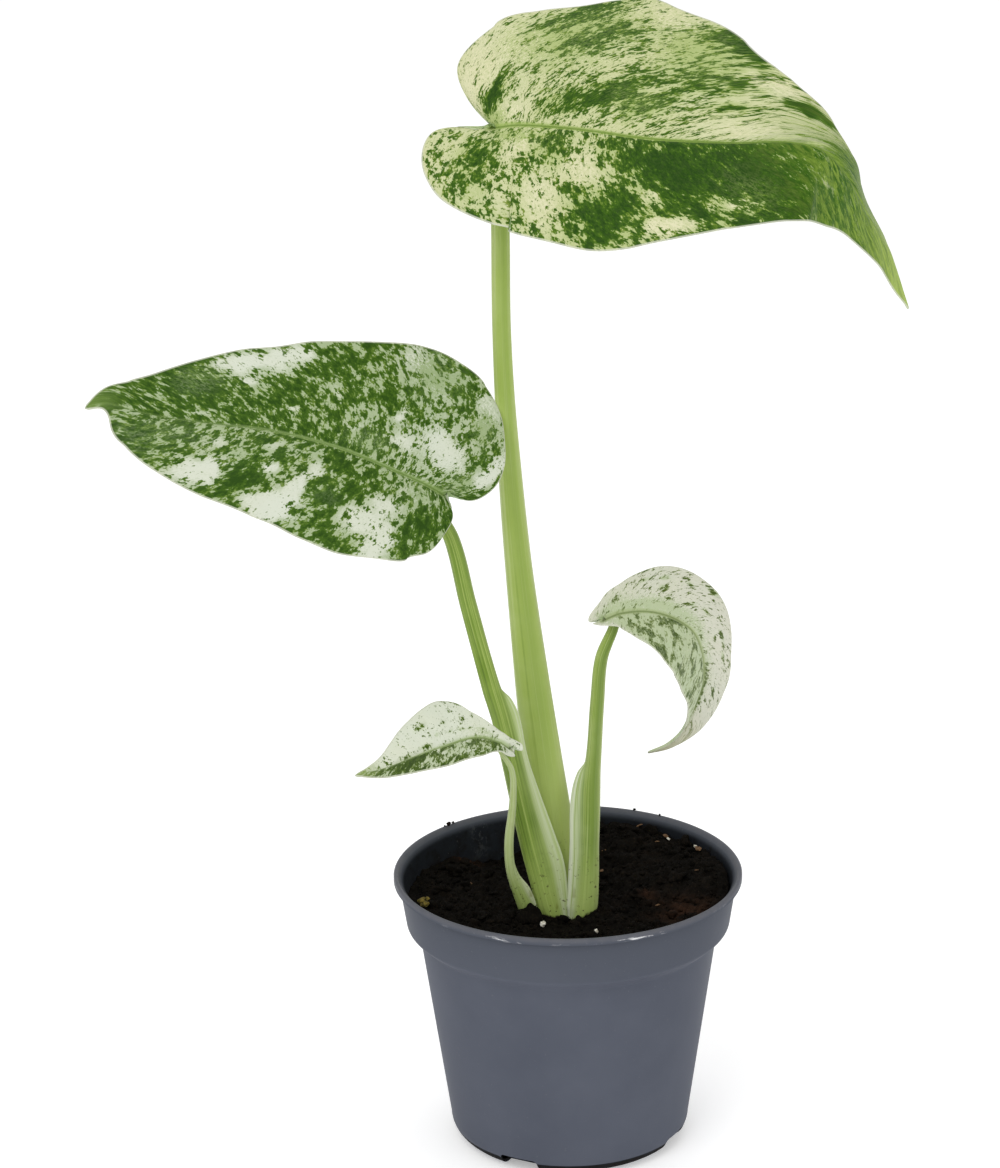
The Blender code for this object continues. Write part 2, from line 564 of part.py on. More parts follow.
slope_foot = (SOIL_FOOT_RADIUS, FLOOR + GAP)
slope_top = (wall_radius(SOIL_SLOPE_HEIGHT) - WALL - GAP, SOIL_SLOPE_HEIGHT)
inner = [slope_foot, slope_top] + [(r - GAP, z + GAP) for r, z in pot_profile()[5:7]]
soil_edge = COLLAR_FOOT_RADIUS - WALL + 0.2
soil_profile = [(soil_edge * k / SOIL_RINGS, SOIL_LEVEL) for k in range(SOIL_RINGS + 1)]
soil_profile += list(reversed(inner)) + [(0.0, FLOOR + GAP)]
soil = applied(turned("soil", soil_profile, SOIL_SIDES, dark_soil, parts))
for vert in soil.data.vertices:
    x, y, z = vert.co / MM
    if abs(z - SOIL_LEVEL) < 0.01:
        vert.co.z = soil_height(x, y) * MM
for cutter in [shaft] + root_holes + [c for c in cutters.objects if c.name.startswith("hole_")]:
    boolean(soil, cutter, "DIFFERENCE")

for thing in parts.objects:
    for polygon in thing.data.polygons:
        polygon.use_smooth = not thing.name.startswith("soil")
    thing.data.set_sharp_from_angle(angle=radians(35.0))
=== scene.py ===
# Potted monstera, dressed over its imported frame.
# The camera's and the lights' tables are in metres, the others in millimetres.
import random
from math import cos, exp, pi, radians, sin

import bmesh
import bpy
import numpy as np
from mathutils import Matrix, Vector, noise


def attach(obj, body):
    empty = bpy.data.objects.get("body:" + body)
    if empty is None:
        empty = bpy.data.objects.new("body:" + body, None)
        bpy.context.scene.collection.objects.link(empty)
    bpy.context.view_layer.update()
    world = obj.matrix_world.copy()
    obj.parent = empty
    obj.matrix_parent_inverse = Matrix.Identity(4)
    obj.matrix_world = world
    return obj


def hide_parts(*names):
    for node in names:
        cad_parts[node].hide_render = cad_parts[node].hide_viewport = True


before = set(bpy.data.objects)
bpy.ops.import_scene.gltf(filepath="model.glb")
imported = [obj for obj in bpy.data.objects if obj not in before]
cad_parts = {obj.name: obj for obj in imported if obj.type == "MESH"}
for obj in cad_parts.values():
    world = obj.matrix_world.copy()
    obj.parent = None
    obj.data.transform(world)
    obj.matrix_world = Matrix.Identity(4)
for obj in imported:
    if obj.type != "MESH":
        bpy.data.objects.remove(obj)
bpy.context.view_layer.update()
mm = 0.001


# shader helpers

class Wire:
    # a shader socket; sums and products with it add Math nodes
    def __init__(self, finish, socket):
        self.finish = finish
        self.socket = socket

    def maths(self, operation, other):
        return self.finish.node("Math", {"operation": operation}, {0: self, 1: other})

    def __add__(self, other):
        return self.maths("ADD", other)

    def __sub__(self, other):
        return self.maths("SUBTRACT", other)

    def __mul__(self, other):
        return self.maths("MULTIPLY", other)

    def atLeast(self, other):
        return self.maths("MAXIMUM", other)


class Finish:
    # one material, built up node by node; its colour is laid on in coats
    def __init__(self, name, rough, shine, **fixed):
        self.material = bpy.data.materials.new(name)
        self.material.use_nodes = True
        self.tree = self.material.node_tree
        self.shader = self.tree.nodes["Principled BSDF"]
        self.colour = None
        self.setInputs(Roughness=rough, Specular_IOR_Level=shine, **fixed)

    def setInputs(self, **inputs):
        for name, value in inputs.items():
            self.plug(self.shader.inputs[name.replace("_", " ")], value)

    def node(self, kind, settings={}, sockets={}, output=0):
        made = self.tree.nodes.new("ShaderNode" + kind)
        for name, value in settings.items():
            setattr(made, name, value)
        for name, value in sockets.items():
            self.plug(made.inputs[name], value)
        return Wire(self, made.outputs[output])

    def plug(self, socket, value):
        if isinstance(value, Wire):
            self.tree.links.new(value.socket, socket)
        else:
            socket.default_value = value

    def place(self):
        return self.node("TexCoord", output="Object")

    def stored(self, name, output="Fac"):
        return self.node("Attribute", {"attribute_name": name}, output=output)

    def speckle(self, place, scale, detail=3.0, rough=0.55, bent=0.0):
        return self.node("TexNoise", {}, {"Vector": place, "Scale": scale, "Detail": detail,
                                                    "Roughness": rough, "Distortion": bent})

    def cells(self, place, scale):
        return self.node("TexVoronoi", {}, {"Vector": place, "Scale": scale})

    def between(self, value, low, high, start=0.0, end=1.0):
        return self.node("MapRange", {"interpolation_type": "SMOOTHSTEP"},
                         {"Value": value, "From Min": low, "From Max": high, "To Min": start, "To Max": end})

    def spots(self, place, scale, detail, rough, low, high):
        return self.between(self.speckle(place, scale, detail, rough), low, high)

    def ramp(self, value, stops):
        wire = self.node("ValToRGB", {}, {"Fac": value})
        elements = wire.socket.node.color_ramp.elements
        elements.remove(elements[-1])
        elements[0].position, elements[0].color = stops[0]
        for place, colour in stops[1:]:
            elements.new(place).color = colour
        return wire

    def blend(self, share, first, second, way="MIX"):
        return self.node("Mix", {"data_type": "RGBA", "blend_type": way},
                         {0: share, 6: first, 7: second}, output=2)

    def coat(self, share, colour, way="MIX"):
        self.colour = self.blend(share, self.colour, colour, way)

    def stretch(self, place, x, y, z):
        return self.node("VectorMath", {"operation": "MULTIPLY"}, {0: place, 1: (x, y, z)})

    def end(self, height, distance, strength, **inputs):
        # the last inputs: the colour so far, and the small relief that the light shows
        sockets = {"Height": height, "Distance": distance, "Strength": strength}
        self.setInputs(Base_Color=self.colour, Normal=self.node("Bump", {}, sockets), **inputs)
        return self.material


def tint(red, green, blue):
    # a 0-255 screen colour as the linear one that shaders use
    parts = [c / 255 for c in (red, green, blue)]
    return (*[c / 12.92 if c <= 0.04045 else ((c + 0.055) / 1.055) ** 2.4 for c in parts], 1.0)


# mesh helpers

def mark(mesh, marks):
    # stores a value or a vector at each point, for the materials to read
    for key, values in marks.items():
        values = np.asarray(values, np.float32)
        kind, field = ("FLOAT_VECTOR", "vector") if values.ndim == 2 else ("FLOAT", "value")
        mesh.attributes.new(key, kind, "POINT").data.foreach_set(field, values.ravel())


def addObject(name, data):
    thing = bpy.data.objects.new(name, data)
    bpy.context.scene.collection.objects.link(thing)
    return thing


def makePiece(name, points, faces, material, marks={}):
    mesh = bpy.data.meshes.new(name)
    mesh.from_pydata([tuple(p) for p in points], [], [tuple(int(i) for i in f) for f in faces])
    mesh.update()
    mesh.materials.append(material)
    mark(mesh, marks)
    mesh.shade_smooth()
    return addObject(name, mesh)


def ringFaces(first, rings, sides, start, end):
    # quads between rings of points, closed by fans round the points start and end
    faces = []
    last = first + (rings - 1) * sides
    for k in range(sides):
        n = (k + 1) % sides
        faces.append((start, first + k, first + n))
        for low in range(first, last, sides):
            faces.append((low + k, low + sides + k, low + sides + n, low + n))
        faces.append((last + n, last + k, end))
    return faces


def settle(piece, slotName, *nodes):
    # rides on the one body, and stands for the CAD nodes named
    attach(piece, "root")
    if nodes:
        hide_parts(*nodes)


def smoothLine(points, count):
    # a smooth line through the points, cut into evenly spaced ones
    points = np.asarray(points, float)
    line = np.vstack([2 * points[0] - points[1], points, 2 * points[-1] - points[-2]])
    fine = []
    for i in range(1, len(line) - 2):
        before, start, end, after = line[i - 1:i + 3]
        step = np.linalg.norm((end - start)[:3])
        leave = (end - before) * step / (np.linalg.norm((start - before)[:3]) + step)
        arrive = (after - start) * step / (step + np.linalg.norm((after - end)[:3]))
        for t in np.linspace(0, 1, 24, endpoint=False):
            fine.append((2 * t ** 3 - 3 * t ** 2 + 1) * start + (t ** 3 - 2 * t ** 2 + t) * leave
                        + (3 * t ** 2 - 2 * t ** 3) * end + (t ** 3 - t ** 2) * arrive)
    fine = np.array(fine + [points[-1]])
    along = np.concatenate([[0], np.cumsum(np.linalg.norm(np.diff(fine[:, :3], axis=0), axis=1))])
    at = np.linspace(0, along[-1], count)
    return np.stack([np.interp(at, along, fine[:, k]) for k in range(fine.shape[1])], -1), along[-1]


def ramped(steps, at):
    return np.interp(at, [s[0] for s in steps], [s[1] for s in steps])


def hill(distance, width):
    # 1 at no distance, falling off smoothly
    return np.exp(-(distance / width) ** 2)


def unit(vectors):
    return vectors / np.linalg.norm(vectors, axis=-1, keepdims=True)


def circle(count):
    return np.linspace(0, 2 * pi, count, endpoint=False)


def anywhere(draw, reach):
    # a place drawn evenly from a disc
    distance, angle = reach * draw.random() ** 0.5, draw.uniform(0, 2 * pi)
    return distance * cos(angle), distance * sin(angle)


def noiseAt(points, size, seed=0.0):
    # smooth noise, about -0.5 to 0.5, for each point
    points = np.asarray(points, float) / size
    return np.array([noise.noise(Vector((p[0], p[1], p[2] + seed))) for p in points])


# camera and light, set up as in the photo

view = {"place": (0.0, -1.199, 0.6005), "down": 18.344, "side": -1.0574, "tip": -0.828, "lens": 114.8}


def placeCamera():
    down, side, tip = (radians(view[k]) for k in ("down", "side", "tip"))
    ahead = np.array([sin(side) * cos(down), cos(side) * cos(down), -sin(down)])
    level = np.array([cos(side), -sin(side), 0.0])
    up = np.cross(level, ahead)
    right = cos(tip) * level + sin(tip) * up
    upright = -sin(tip) * level + cos(tip) * up
    lens = bpy.data.cameras.new("camera")
    lens.sensor_fit = "AUTO"
    lens.sensor_width = 36.0
    lens.lens = view["lens"]
    lens.clip_start, lens.clip_end = 0.05, 150.0
    camera = addObject("camera", lens)
    turn = Matrix((right, upright, -ahead)).transposed().to_4x4()
    camera.matrix_world = Matrix.Translation(view["place"]) @ turn
    bpy.context.scene.camera = camera


lights = {
    "key": {"place": (-0.55, -1.15, 1.45), "size": 1.1, "power": 9.0},
    "fill": {"place": (1.1, -0.8, 0.75), "size": 1.0, "power": 1.6},
    "top": {"place": (0.1, 0.5, 1.6), "size": 1.0, "power": 2.5},
    "aim": (0, 0, 0.2), "world": 0.72,
    "floorGlow": 0.34, "floorReach": 20.0, "floorSpread": 2.2, "floorRise": 2.4,
}


def lightScene():
    for name in ("key", "fill", "top"):
        plan = lights[name]
        lamp = bpy.data.lights.new(name, "AREA")
        lamp.shape = "DISK"
        lamp.size = plan["size"]
        lamp.energy = plan["power"]
        thing = addObject(name, lamp)
        thing.location = plan["place"]
        aim = Vector(lights["aim"]) - thing.location
        thing.rotation_euler = aim.to_track_quat("-Z", "Y").to_euler()
    world = bpy.data.worlds.new("studio")
    world.use_nodes = True
    sky = world.node_tree.nodes["Background"]
    sky.inputs["Color"].default_value = (1.0, 1.0, 1.0, 1.0)
    sky.inputs["Strength"].default_value = lights["world"]
    bpy.context.scene.world = world
    bpy.context.scene.view_settings.view_transform = "Standard"
    plain = Finish("studio_floor", 0.9, 0.5, Emission_Color=(1, 1, 1, 1),
                   Emission_Strength=lights["floorGlow"])
    tones = [(0.0, (0.92, 0.92, 0.92, 1)), (1.0, (0.94, 0.94, 0.94, 1))]
    plain.setInputs(Base_Color=plain.ramp(plain.speckle(plain.place(), 3.0), tones))
    # the floor, which rises a little far away, so that no view sees its end
    corners = np.array([(-1, -1, 0), (1, -1, 0), (1, 1, 0), (-1, 1, 0)]) * lights["floorReach"]
    points = np.vstack([corners, corners, corners * lights["floorSpread"] + (0, 0, lights["floorRise"])])
    rise = [(4 + k, 4 + (k + 1) % 4, 8 + (k + 1) % 4, 8 + k) for k in range(4)]
    floor = makePiece("studio_floor", points, [(0, 1, 2, 3)] + rise, plain.material)


placeCamera()
lightScene()
print("camera and light ready")


# the pot

pot = {
    "height": 98.4, "rimRadius": 60.6, "lipHeight": 3.0, "collarTop": 58.7, "collarFoot": 56.3,
    "collarHeight": 18.8, "wallTop": 51.9, "wallTopHeight": 76.0, "wallFoot": 42.0, "fillet": 7.5,
    "wall": 1.5, "floor": 1.6, "sides": 224, "drains": (-116.0, -26.0, 64.0, 154.0),
    "drainWidth": 14.0, "drainHeight": 5.7, "drainDepth": 18.0, "drainPlace": 41.5, "drainRounding": 1.6,
    "body": tint(88, 92, 103), "deep": tint(79, 83, 94), "lip": tint(96, 97, 103),
    # the first colour on the next line is a painted highlight, on the lip's corner; the other two are painted
    # shade, on the collar, inside the pot and under the lip
    "paintedGlint": tint(226, 226, 228), "collar": tint(77, 81, 90), "shade": tint(34, 37, 42),
    "glints": ((-20.0, 10.0), (22.0, 10.0)), "smear": (-31.0, 44.8, 89.5), "smearSize": (3.0, 4.0, 4.0),
    # radius of the inside at a few heights, as (height, radius)
    "inner": [(7.5, 40.5), (76.6, 50.4), (80.4, 54.8), (95.4, 57.2), (98.4, 58.2)],
}


def potOutline():
    # (radius, height, rounding) from the inside of the bottom, over the lip and down the outside
    top, wall, floor, fillet = (pot[key] for key in ("height", "wall", "floor", "fillet"))
    rim, collar, foot = pot["rimRadius"], pot["collarTop"], pot["collarFoot"]
    wallTop, base = pot["wallTop"], pot["wallFoot"]
    lip, step, shoulder = top - pot["lipHeight"], top - pot["collarHeight"], pot["wallTopHeight"]
    bend = [(base - fillet * (1 - cos(a)), fillet * (1 - sin(a)), 0.0) for a in np.linspace(0, pi / 2, 13)]
    return [(0.0, floor, 0.0), (base - wall, floor, 5.0), (wallTop - wall, shoulder + 0.6, 1.2),
            (foot - wall, step + 0.8, 1.4), (collar - wall, lip, 0.8), (rim - 2.2, top - 1.3, 0.6),
            (rim - 1.3, top - 0.35, 0.45), (rim - 0.4, top - 0.35, 0.5),
            *[(rim, top - drop, 0.0) for drop in (1.0, 1.3, 1.6, 1.9, 2.2)],
            (rim, lip + 0.2, 0.4), (collar, lip - 0.2, 0.8), (foot, step, 0.9), (wallTop, shoulder, 1.0),
            *bend, (0.0, 0.0, 0.0)]


def rounded(outline, steps=7):
    # each corner turned into a short curve that starts and ends its rounding away from it
    line = [outline[0][:2]]
    for before, corner, after in zip(outline, outline[1:], outline[2:]):
        if not corner[2]:
            line.append(corner[:2])
            continue
        here = np.array(corner[:2])
        toBack, toNext = np.array(before[:2]) - here, np.array(after[:2]) - here
        reach = min(corner[2], 0.48 * np.linalg.norm(toBack), 0.48 * np.linalg.norm(toNext))
        start, end = here + unit(toBack) * reach, here + unit(toNext) * reach
        for t in np.linspace(0, 1, steps):
            line.append(tuple((1 - t) ** 2 * start + 2 * t * (1 - t) * here + t * t * end))
    return line + [outline[-1][:2]]


def innerWall(height):
    return ramped(pot["inner"], height)


def lathe(line, sides):
    # closed turned mesh; the line starts and ends on the axis
    turn = circle(sides)
    points = [(0.0, 0.0, line[0][1])]
    for r, z in line[1:-1]:
        points += list(np.stack([r * np.cos(turn), r * np.sin(turn), np.full(sides, z)], -1))
    points.append((0.0, 0.0, line[-1][1]))
    return np.array(points), ringFaces(1, len(line) - 2, sides, 0, len(points) - 1)


def potFinish():
    plastic = Finish("grey_pot_plastic", 0.5, 0.03)
    place = plastic.place()
    lip, smear, inside, collar = (plastic.stored(k) for k in ("lip", "smear", "inside", "collar"))
    cloud = plastic.speckle(place, 22.0, 4.0, 0.6)
    grain = plastic.speckle(place, 1500.0, 2.0, 0.6)
    drawn = plastic.speckle(plastic.stretch(place, 60.0, 60.0, 900.0), 1.0, 2.0)
    worn = plastic.speckle(place, 240.0, 3.0, 0.65)
    plastic.colour = plastic.ramp(cloud, [(0.3, pot["deep"]), (0.7, pot["body"])])
    # painted shade: the collar is coloured darker than the wall below it
    plastic.coat(collar * 0.8, pot["collar"])
    plastic.coat(lip * plastic.between(worn, 0.2, 0.6, 0.5, 1.0), pot["lip"])
    # the inside is painted darker as shade, with a film of soil that thickens downward
    film = plastic.between(worn + inside * 0.3, 0.5, 0.85, 0.0, 0.8)
    within = plastic.blend(film, pot["shade"], tint(24, 20, 17))
    plastic.coat(plastic.between(inside, 0.0, 0.12), within)
    # painted shade: the recess under the lip is darkened, most at the front
    plastic.coat(plastic.stored("groove") * 0.75, pot["shade"])
    # painted highlight: pale glints on the lip's outer corner, strongest at two places on the front
    glints = plastic.spots(plastic.stretch(place, 110.0, 110.0, 500.0), 1.0, 5.0, 0.75, 0.55, 0.66)
    plastic.coat(glints * plastic.stored("edge"), pot["paintedGlint"])
    plastic.coat(plastic.spots(place, 420.0, 4.0, 0.7, 0.5, 0.62) * smear, tint(170, 176, 182))
    plastic.coat(plastic.spots(place, 900.0, 3.0, 0.7, 0.66, 0.72) * 0.25, tint(120, 120, 122))
    gloss = plastic.between(cloud, 0.3, 0.7, 0.42, 0.52) - lip * 0.16 + inside * 0.2
    return plastic.end(grain * 0.6 + drawn * 0.4, 0.00006, 0.5, Roughness=gloss)


def cutDrains(piece):
    # rounded notches through the bottom edge
    cutters = []
    for angle in pot["drains"]:
        builder = bmesh.new()
        bmesh.ops.create_cube(builder, size=1.0)
        size = (pot["drainDepth"] * mm, pot["drainWidth"] * mm, 2 * pot["drainHeight"] * mm)
        bmesh.ops.scale(builder, vec=size, verts=builder.verts)
        upper = [e for e in builder.edges if abs(e.verts[0].co.y - e.verts[1].co.y) < 1e-9
                 and abs(e.verts[0].co.z - e.verts[1].co.z) < 1e-9 and e.verts[0].co.z > 0]
        bmesh.ops.bevel(builder, geom=upper, offset=pot["drainRounding"] * mm, segments=8, profile=0.5,
                        affect="EDGES")
        shift = Matrix.Translation((pot["drainPlace"] * mm, 0.0, 0.0))
        place = Matrix.Rotation(radians(angle), 4, "Z") @ shift
        bmesh.ops.transform(builder, matrix=place, verts=builder.verts)
        mesh = bpy.data.meshes.new("drain")
        builder.to_mesh(mesh)
        builder.free()
        cutters.append(addObject("drain", mesh))
        cut = piece.modifiers.new("drain", "BOOLEAN")
        cut.operation, cut.object, cut.solver = "DIFFERENCE", cutters[-1], "EXACT"
    bpy.context.view_layer.update()
    mesh = bpy.data.meshes.new_from_object(piece.evaluated_get(bpy.context.evaluated_depsgraph_get()))
    piece.modifiers.clear()
    piece.data = mesh
    for cutter in cutters:
        bpy.data.objects.remove(cutter, do_unlink=True)


def potMarks(place):
    # where the pot's finish changes
    x, y, z = place.T
    out = np.hypot(x, y)
    fromTop = z - pot["height"]
    gap = (place - np.array(pot["smear"])) / np.array(pot["smearSize"])
    within = (out < innerWall(z) + 0.5) & (z > 1.2)
    # the lip's outer corner gets painted highlights in a few places, where it catches the light, and a
    # painted shade line in the groove under it, strongest at the front
    front = np.clip(0.35 - y / 40.0, 0.25, 1)
    glow = sum(hill(x - middle, width) for middle, width in pot["glints"])
    glow = 0.12 + 0.88 * glow * (y < 0)
    corner = (out > pot["rimRadius"] - 0.8) * hill(fromTop + 1.9, 0.5)
    lipFoot = (out > pot["collarTop"] - 0.5) * hill(fromTop + 3.2, 0.45)
    # the collar's mark places its painted shade
    return {"lip": np.clip((fromTop + 2.2) / 1.4, 0, 1), "smear": np.exp(-(gap ** 2).sum(1)),
            "inside": np.where(within, np.clip((-1.0 - fromTop) / 24.0, 0, 1), 0.0),
            "edge": glow * corner, "groove": front * lipFoot,
            "collar": np.clip((fromTop + pot["collarHeight"]) / 1.5, 0, 1)}


def makePot():
    points, faces = lathe(rounded(potOutline()), pot["sides"])
    piece = makePiece("pot_shell", points * mm, faces, potFinish())
    cutDrains(piece)
    place = np.zeros(len(piece.data.vertices) * 3)
    piece.data.vertices.foreach_get("co", place)
    mark(piece.data, potMarks(place.reshape(-1, 3) / mm))
    piece.data.set_sharp_from_angle(angle=radians(38.0))
    settle(piece, "pot_plastic", "pot")


makePot()
print("pot done")


# the soil

soil = {
    "level": 88.4, "lowest": 81.6, "tilt": 0.01, "radius": 55.9, "rings": 150, "sides": 340,
    # broad swells as (height, size, seed)
    "swells": [(1.1, 14.0, 3.0), (0.6, 5.0, 8.0)],
    # below its edge: (radius, height) of the rings down to the pot's floor
    "under": [(54.4, 80.2), (50.0, 76.4), (40.4, 9.5), (30.0, 2.2)],
    # single heaps and hollows as (x, y, size, height), and the small ones that are drawn by chance
    "heaps": [(52.0, 14.0, 26.0, 5.5), (20.0, 50.0, 22.0, 6.0), (-24.0, 45.0, 13.0, -9.0),
              (-1.0, -19.0, 8.0, -1.2), (0.5, -18.5, 5.5, -3.0)],
    "clods": 34, "clodReach": 52.0, "clodSize": (2.6, 5.0), "clodHeight": (0.3, 1.6),
    "dark": tint(14, 12, 9), "brown": tint(29, 23, 17), "rust": tint(50, 33, 23),
    "rustSpots": [(40.0, -18.0, 9.0), (26.0, -6.0, 4.0), (-36.0, 40.0, 5.0)],
}


def clodPlaces():
    draw = random.Random(5)
    places = []
    for k in range(soil["clods"]):
        x, y = anywhere(draw, soil["clodReach"])
        places.append((x, y, draw.uniform(*soil["clodSize"]), draw.uniform(*soil["clodHeight"])))
    return places


clodList = clodPlaces()


def soilHeight(x, y):
    level = soil["level"] + soil["tilt"] * x
    for height, size, seed in soil["swells"]:
        level += height * noise.noise(Vector((x / size, y / size, seed)))
    for heapX, heapY, size, height in soil["heaps"] + clodList:
        level += height * exp(-((x - heapX) ** 2 + (y - heapY) ** 2) / size ** 2)
    return max(level, soil["lowest"])


def soilFinish(name):
    earth = Finish(name, 0.95, 0.05)
    place = earth.place()
    coarse = earth.speckle(place, 160.0, 5.0, 0.65)
    fine = earth.speckle(place, 1100.0, 4.0, 0.7)
    tones = [(0.34, tint(9, 7, 5)), (0.5, soil["dark"]), (0.66, soil["brown"])]
    earth.colour = earth.ramp(coarse * 0.5 + fine * 0.5, tones)
    earth.coat(earth.stored("rust") * earth.between(coarse, 0.35, 0.6), soil["rust"])
    earth.coat(earth.spots(place, 2300.0, 2.0, 0.55, 0.66, 0.72) * 0.5, tint(70, 56, 42))
    height = fine * 0.6 + earth.cells(place, 900.0) * 0.4
    return earth.end(height, 0.0009, 0.9, Roughness=earth.between(fine, 0.3, 0.7, 0.85, 1.0))


def rustAt(points):
    glow = np.zeros(len(points))
    for x, y, size in soil["rustSpots"]:
        glow += hill(np.hypot(points[:, 0] - x, points[:, 1] - y), size)
    return np.clip(glow, 0, 1)


def makeSoil():
    rings, sides = soil["rings"], soil["sides"]
    turn = circle(sides)
    points = [(0.0, 0.0)]
    for ring in range(1, rings + 1):
        radius = soil["radius"] * ring / rings
        points += [(radius * cos(a), radius * sin(a)) for a in turn]
    flat = np.array(points)
    height = np.array([soilHeight(x, y) for x, y in flat])
    place = np.column_stack([flat, height])
    rough = 1.1 * noiseAt(place, 2.6, 20.0) + 0.7 * noiseAt(place, 1.1, 40.0)
    lumps = np.array([noise.voronoi(Vector((x / 2.4, y / 2.4, 0.0)))[0][0] for x, y in flat])
    place[:, 2] += rough + 0.9 * (0.5 - lumps)
    distance = np.hypot(place[:, 0], place[:, 1])
    limit = innerWall(place[:, 2]) - 0.05
    shrink = np.where(distance > limit, limit / np.maximum(distance, 1.0), 1.0)
    place[:, :2] *= shrink[:, None]
    lower = [(r * cos(a), r * sin(a), z) for r, z in soil["under"] for a in turn]
    place = np.vstack([place, lower, [(0.0, 0.0, soil["under"][-1][1])]])
    faces = ringFaces(1, rings + len(soil["under"]), sides, 0, len(place) - 1)
    piece = makePiece("soil_bed", place * mm, faces, soilFinish("potting_soil"), {"rust": rustAt(place)})
    settle(piece, "soil", "soil")


def crumbShape(draw, detail):
    # one uneven lump, about 1 across
    builder = bmesh.new()
    bmesh.ops.create_icosphere(builder, subdivisions=detail, radius=0.5)
    seed = draw.uniform(0, 90)
    squash = Vector((draw.uniform(0.7, 1.25), draw.uniform(0.7, 1.25), draw.uniform(0.6, 1.0)))
    for vert in builder.verts:
        swell = 1.0 + 0.75 * noise.noise(vert.co * 2.3 + Vector((seed, 0, 0)))
        vert.co = Vector([c * s * swell for c, s in zip(vert.co, squash)])
    points = np.array([vert.co[:] for vert in builder.verts])
    faces = np.array([[vert.index for vert in face.verts] for face in builder.faces])
    builder.free()
    return points, faces


def scatter(name, places, detail, material, draw, stretch=(1.0, 1.0, 1.0)):
    # many uneven lumps as one mesh; places holds x, y, z and size
    shapes = [crumbShape(draw, detail) for k in range(crumbs["shapes"])]
    allPoints, allFaces = [], []
    count = 0
    for x, y, z, size in places:
        points, faces = shapes[draw.randrange(len(shapes))]
        turn = Matrix.Rotation(draw.uniform(0, 2 * pi), 3, "Z")
        turn = turn @ Matrix.Rotation(draw.uniform(-0.6, 0.6), 3, "X")
        allPoints.append((points * np.array(stretch)) @ np.array(turn).T * size + (x, y, z))
        allFaces.append(faces + count)
        count += len(points)
    points, faces = np.vstack(allPoints), np.vstack(allFaces)
    return makePiece(name, points * mm, faces, material, {"rust": rustAt(points)})


def onSoil(places, lift):
    # adds the height, and lifts each bit by a share of its size
    return [(x, y, soilHeight(x, y) + lift * size, size) for x, y, size in places]


def scatterPlaces(draw, count, low, high):
    places = []
    while len(places) < count:
        size = low + (high - low) * draw.random() ** crumbs["smallness"]
        places.append((*anywhere(draw, crumbs["reach"] - size), size))
    return onSoil(places, 0.15)


# loose bits as (x, y, size); grit and crumbs as how many, least and greatest size
crumbs = {
    "shapes": 12, "reach": 54.0, "smallness": 2.2,
    "grit": (3600, 0.35, 1.1), "crumbs": (420, 1.0, 3.2),
    "clods": [(-13.5, -21.5, 8.5), (30.0, 44.0, 5.0), (42.0, 34.0, 5.5), (-40.0, 22.0, 5.0),
              (24.0, -8.0, 4.0), (3.0, -23.0, 5.0), (14.0, -16.0, 4.6), (-30.0, -20.0, 5.0),
              (38.0, 4.0, 5.0)],
    # crumbs left on the lip, as (x, y, z, size)
    "onLip": [(-42.5, 41.4, 98.7, 1.5), (-41.0, 43.0, 98.6, 0.8), (-43.9, 40.0, 98.5, 0.6),
              (24.3, 54.5, 98.5, 0.9), (33.3, 49.2, 98.5, 0.8)],
}
perlite = {
    "name": "perlite_bits", "skin": "perlite", "rough": 0.8, "stretch": (1.0, 1.0, 1.0),
    "light": tint(226, 222, 210), "dark": tint(150, 140, 120),
    "places": [(-8.6, -26.6, 2.1), (9.4, -33.2, 2.1), (36.0, 36.0, 1.2), (45.5, 30.0, 1.3)],
}
bark = {
    "name": "tan_bits", "skin": "bark_bits", "rough": 0.8, "stretch": (1.3, 0.7, 0.5),
    "light": tint(112, 84, 56), "dark": tint(62, 44, 30),
    "places": [(35.0, 38.0, 2.4), (46.5, 27.0, 2.2), (26.0, 47.0, 1.8), (32.0, 33.0, 1.0),
               (-27.0, 36.0, 2.0), (13.0, 31.0, 1.0), (12.0, 18.0, 1.2), (31.0, -14.0, 1.4),
               (-34.0, 12.0, 1.0), (45.0, 8.0, 0.9)],
}
moss = {
    "name": "moss_bits", "skin": "moss_bits", "rough": 0.9, "stretch": (1.2, 0.8, 0.5),
    "light": tint(122, 104, 42), "dark": tint(60, 58, 24),
    "places": [(-50.8, -6.4, 3.2), (-49.6, -10.0, 2.4), (-49.0, -3.4, 1.8), (-47.6, -7.2, 1.6)],
}


def bitFinish(name, rough, shine, distance, scale, stops):
    # a plain mottled skin
    finish = Finish(name, rough, shine)
    mottle = finish.speckle(finish.place(), scale, 4.0, 0.65)
    finish.colour = finish.ramp(mottle, stops)
    return finish.end(mottle, distance, 0.6)


def makeCrumbs():
    draw = random.Random(41)
    earth = soilFinish("soil_crumb")
    small = scatter("soil_grit", scatterPlaces(draw, *crumbs["grit"]), 1, earth, draw)
    large = scatter("soil_crumbs", scatterPlaces(draw, *crumbs["crumbs"]), 2, earth, draw)
    lumps = scatter("soil_clods", onSoil(crumbs["clods"], 0.12) + crumbs["onLip"], 4, earth, draw)
    for piece in (small, large, lumps):
        settle(piece, "soil")
    for kind in (perlite, bark, moss):
        tones = [(0.35, kind["dark"]), (0.6, kind["light"])]
        skin = bitFinish(kind["skin"], kind["rough"], 0.25, 0.0004, 900.0, tones)
        places = onSoil(kind["places"], 0.45)
        settle(scatter(kind["name"], places, 3, skin, draw, kind["stretch"]), "soil")


makeSoil()
makeCrumbs()
print("soil done")
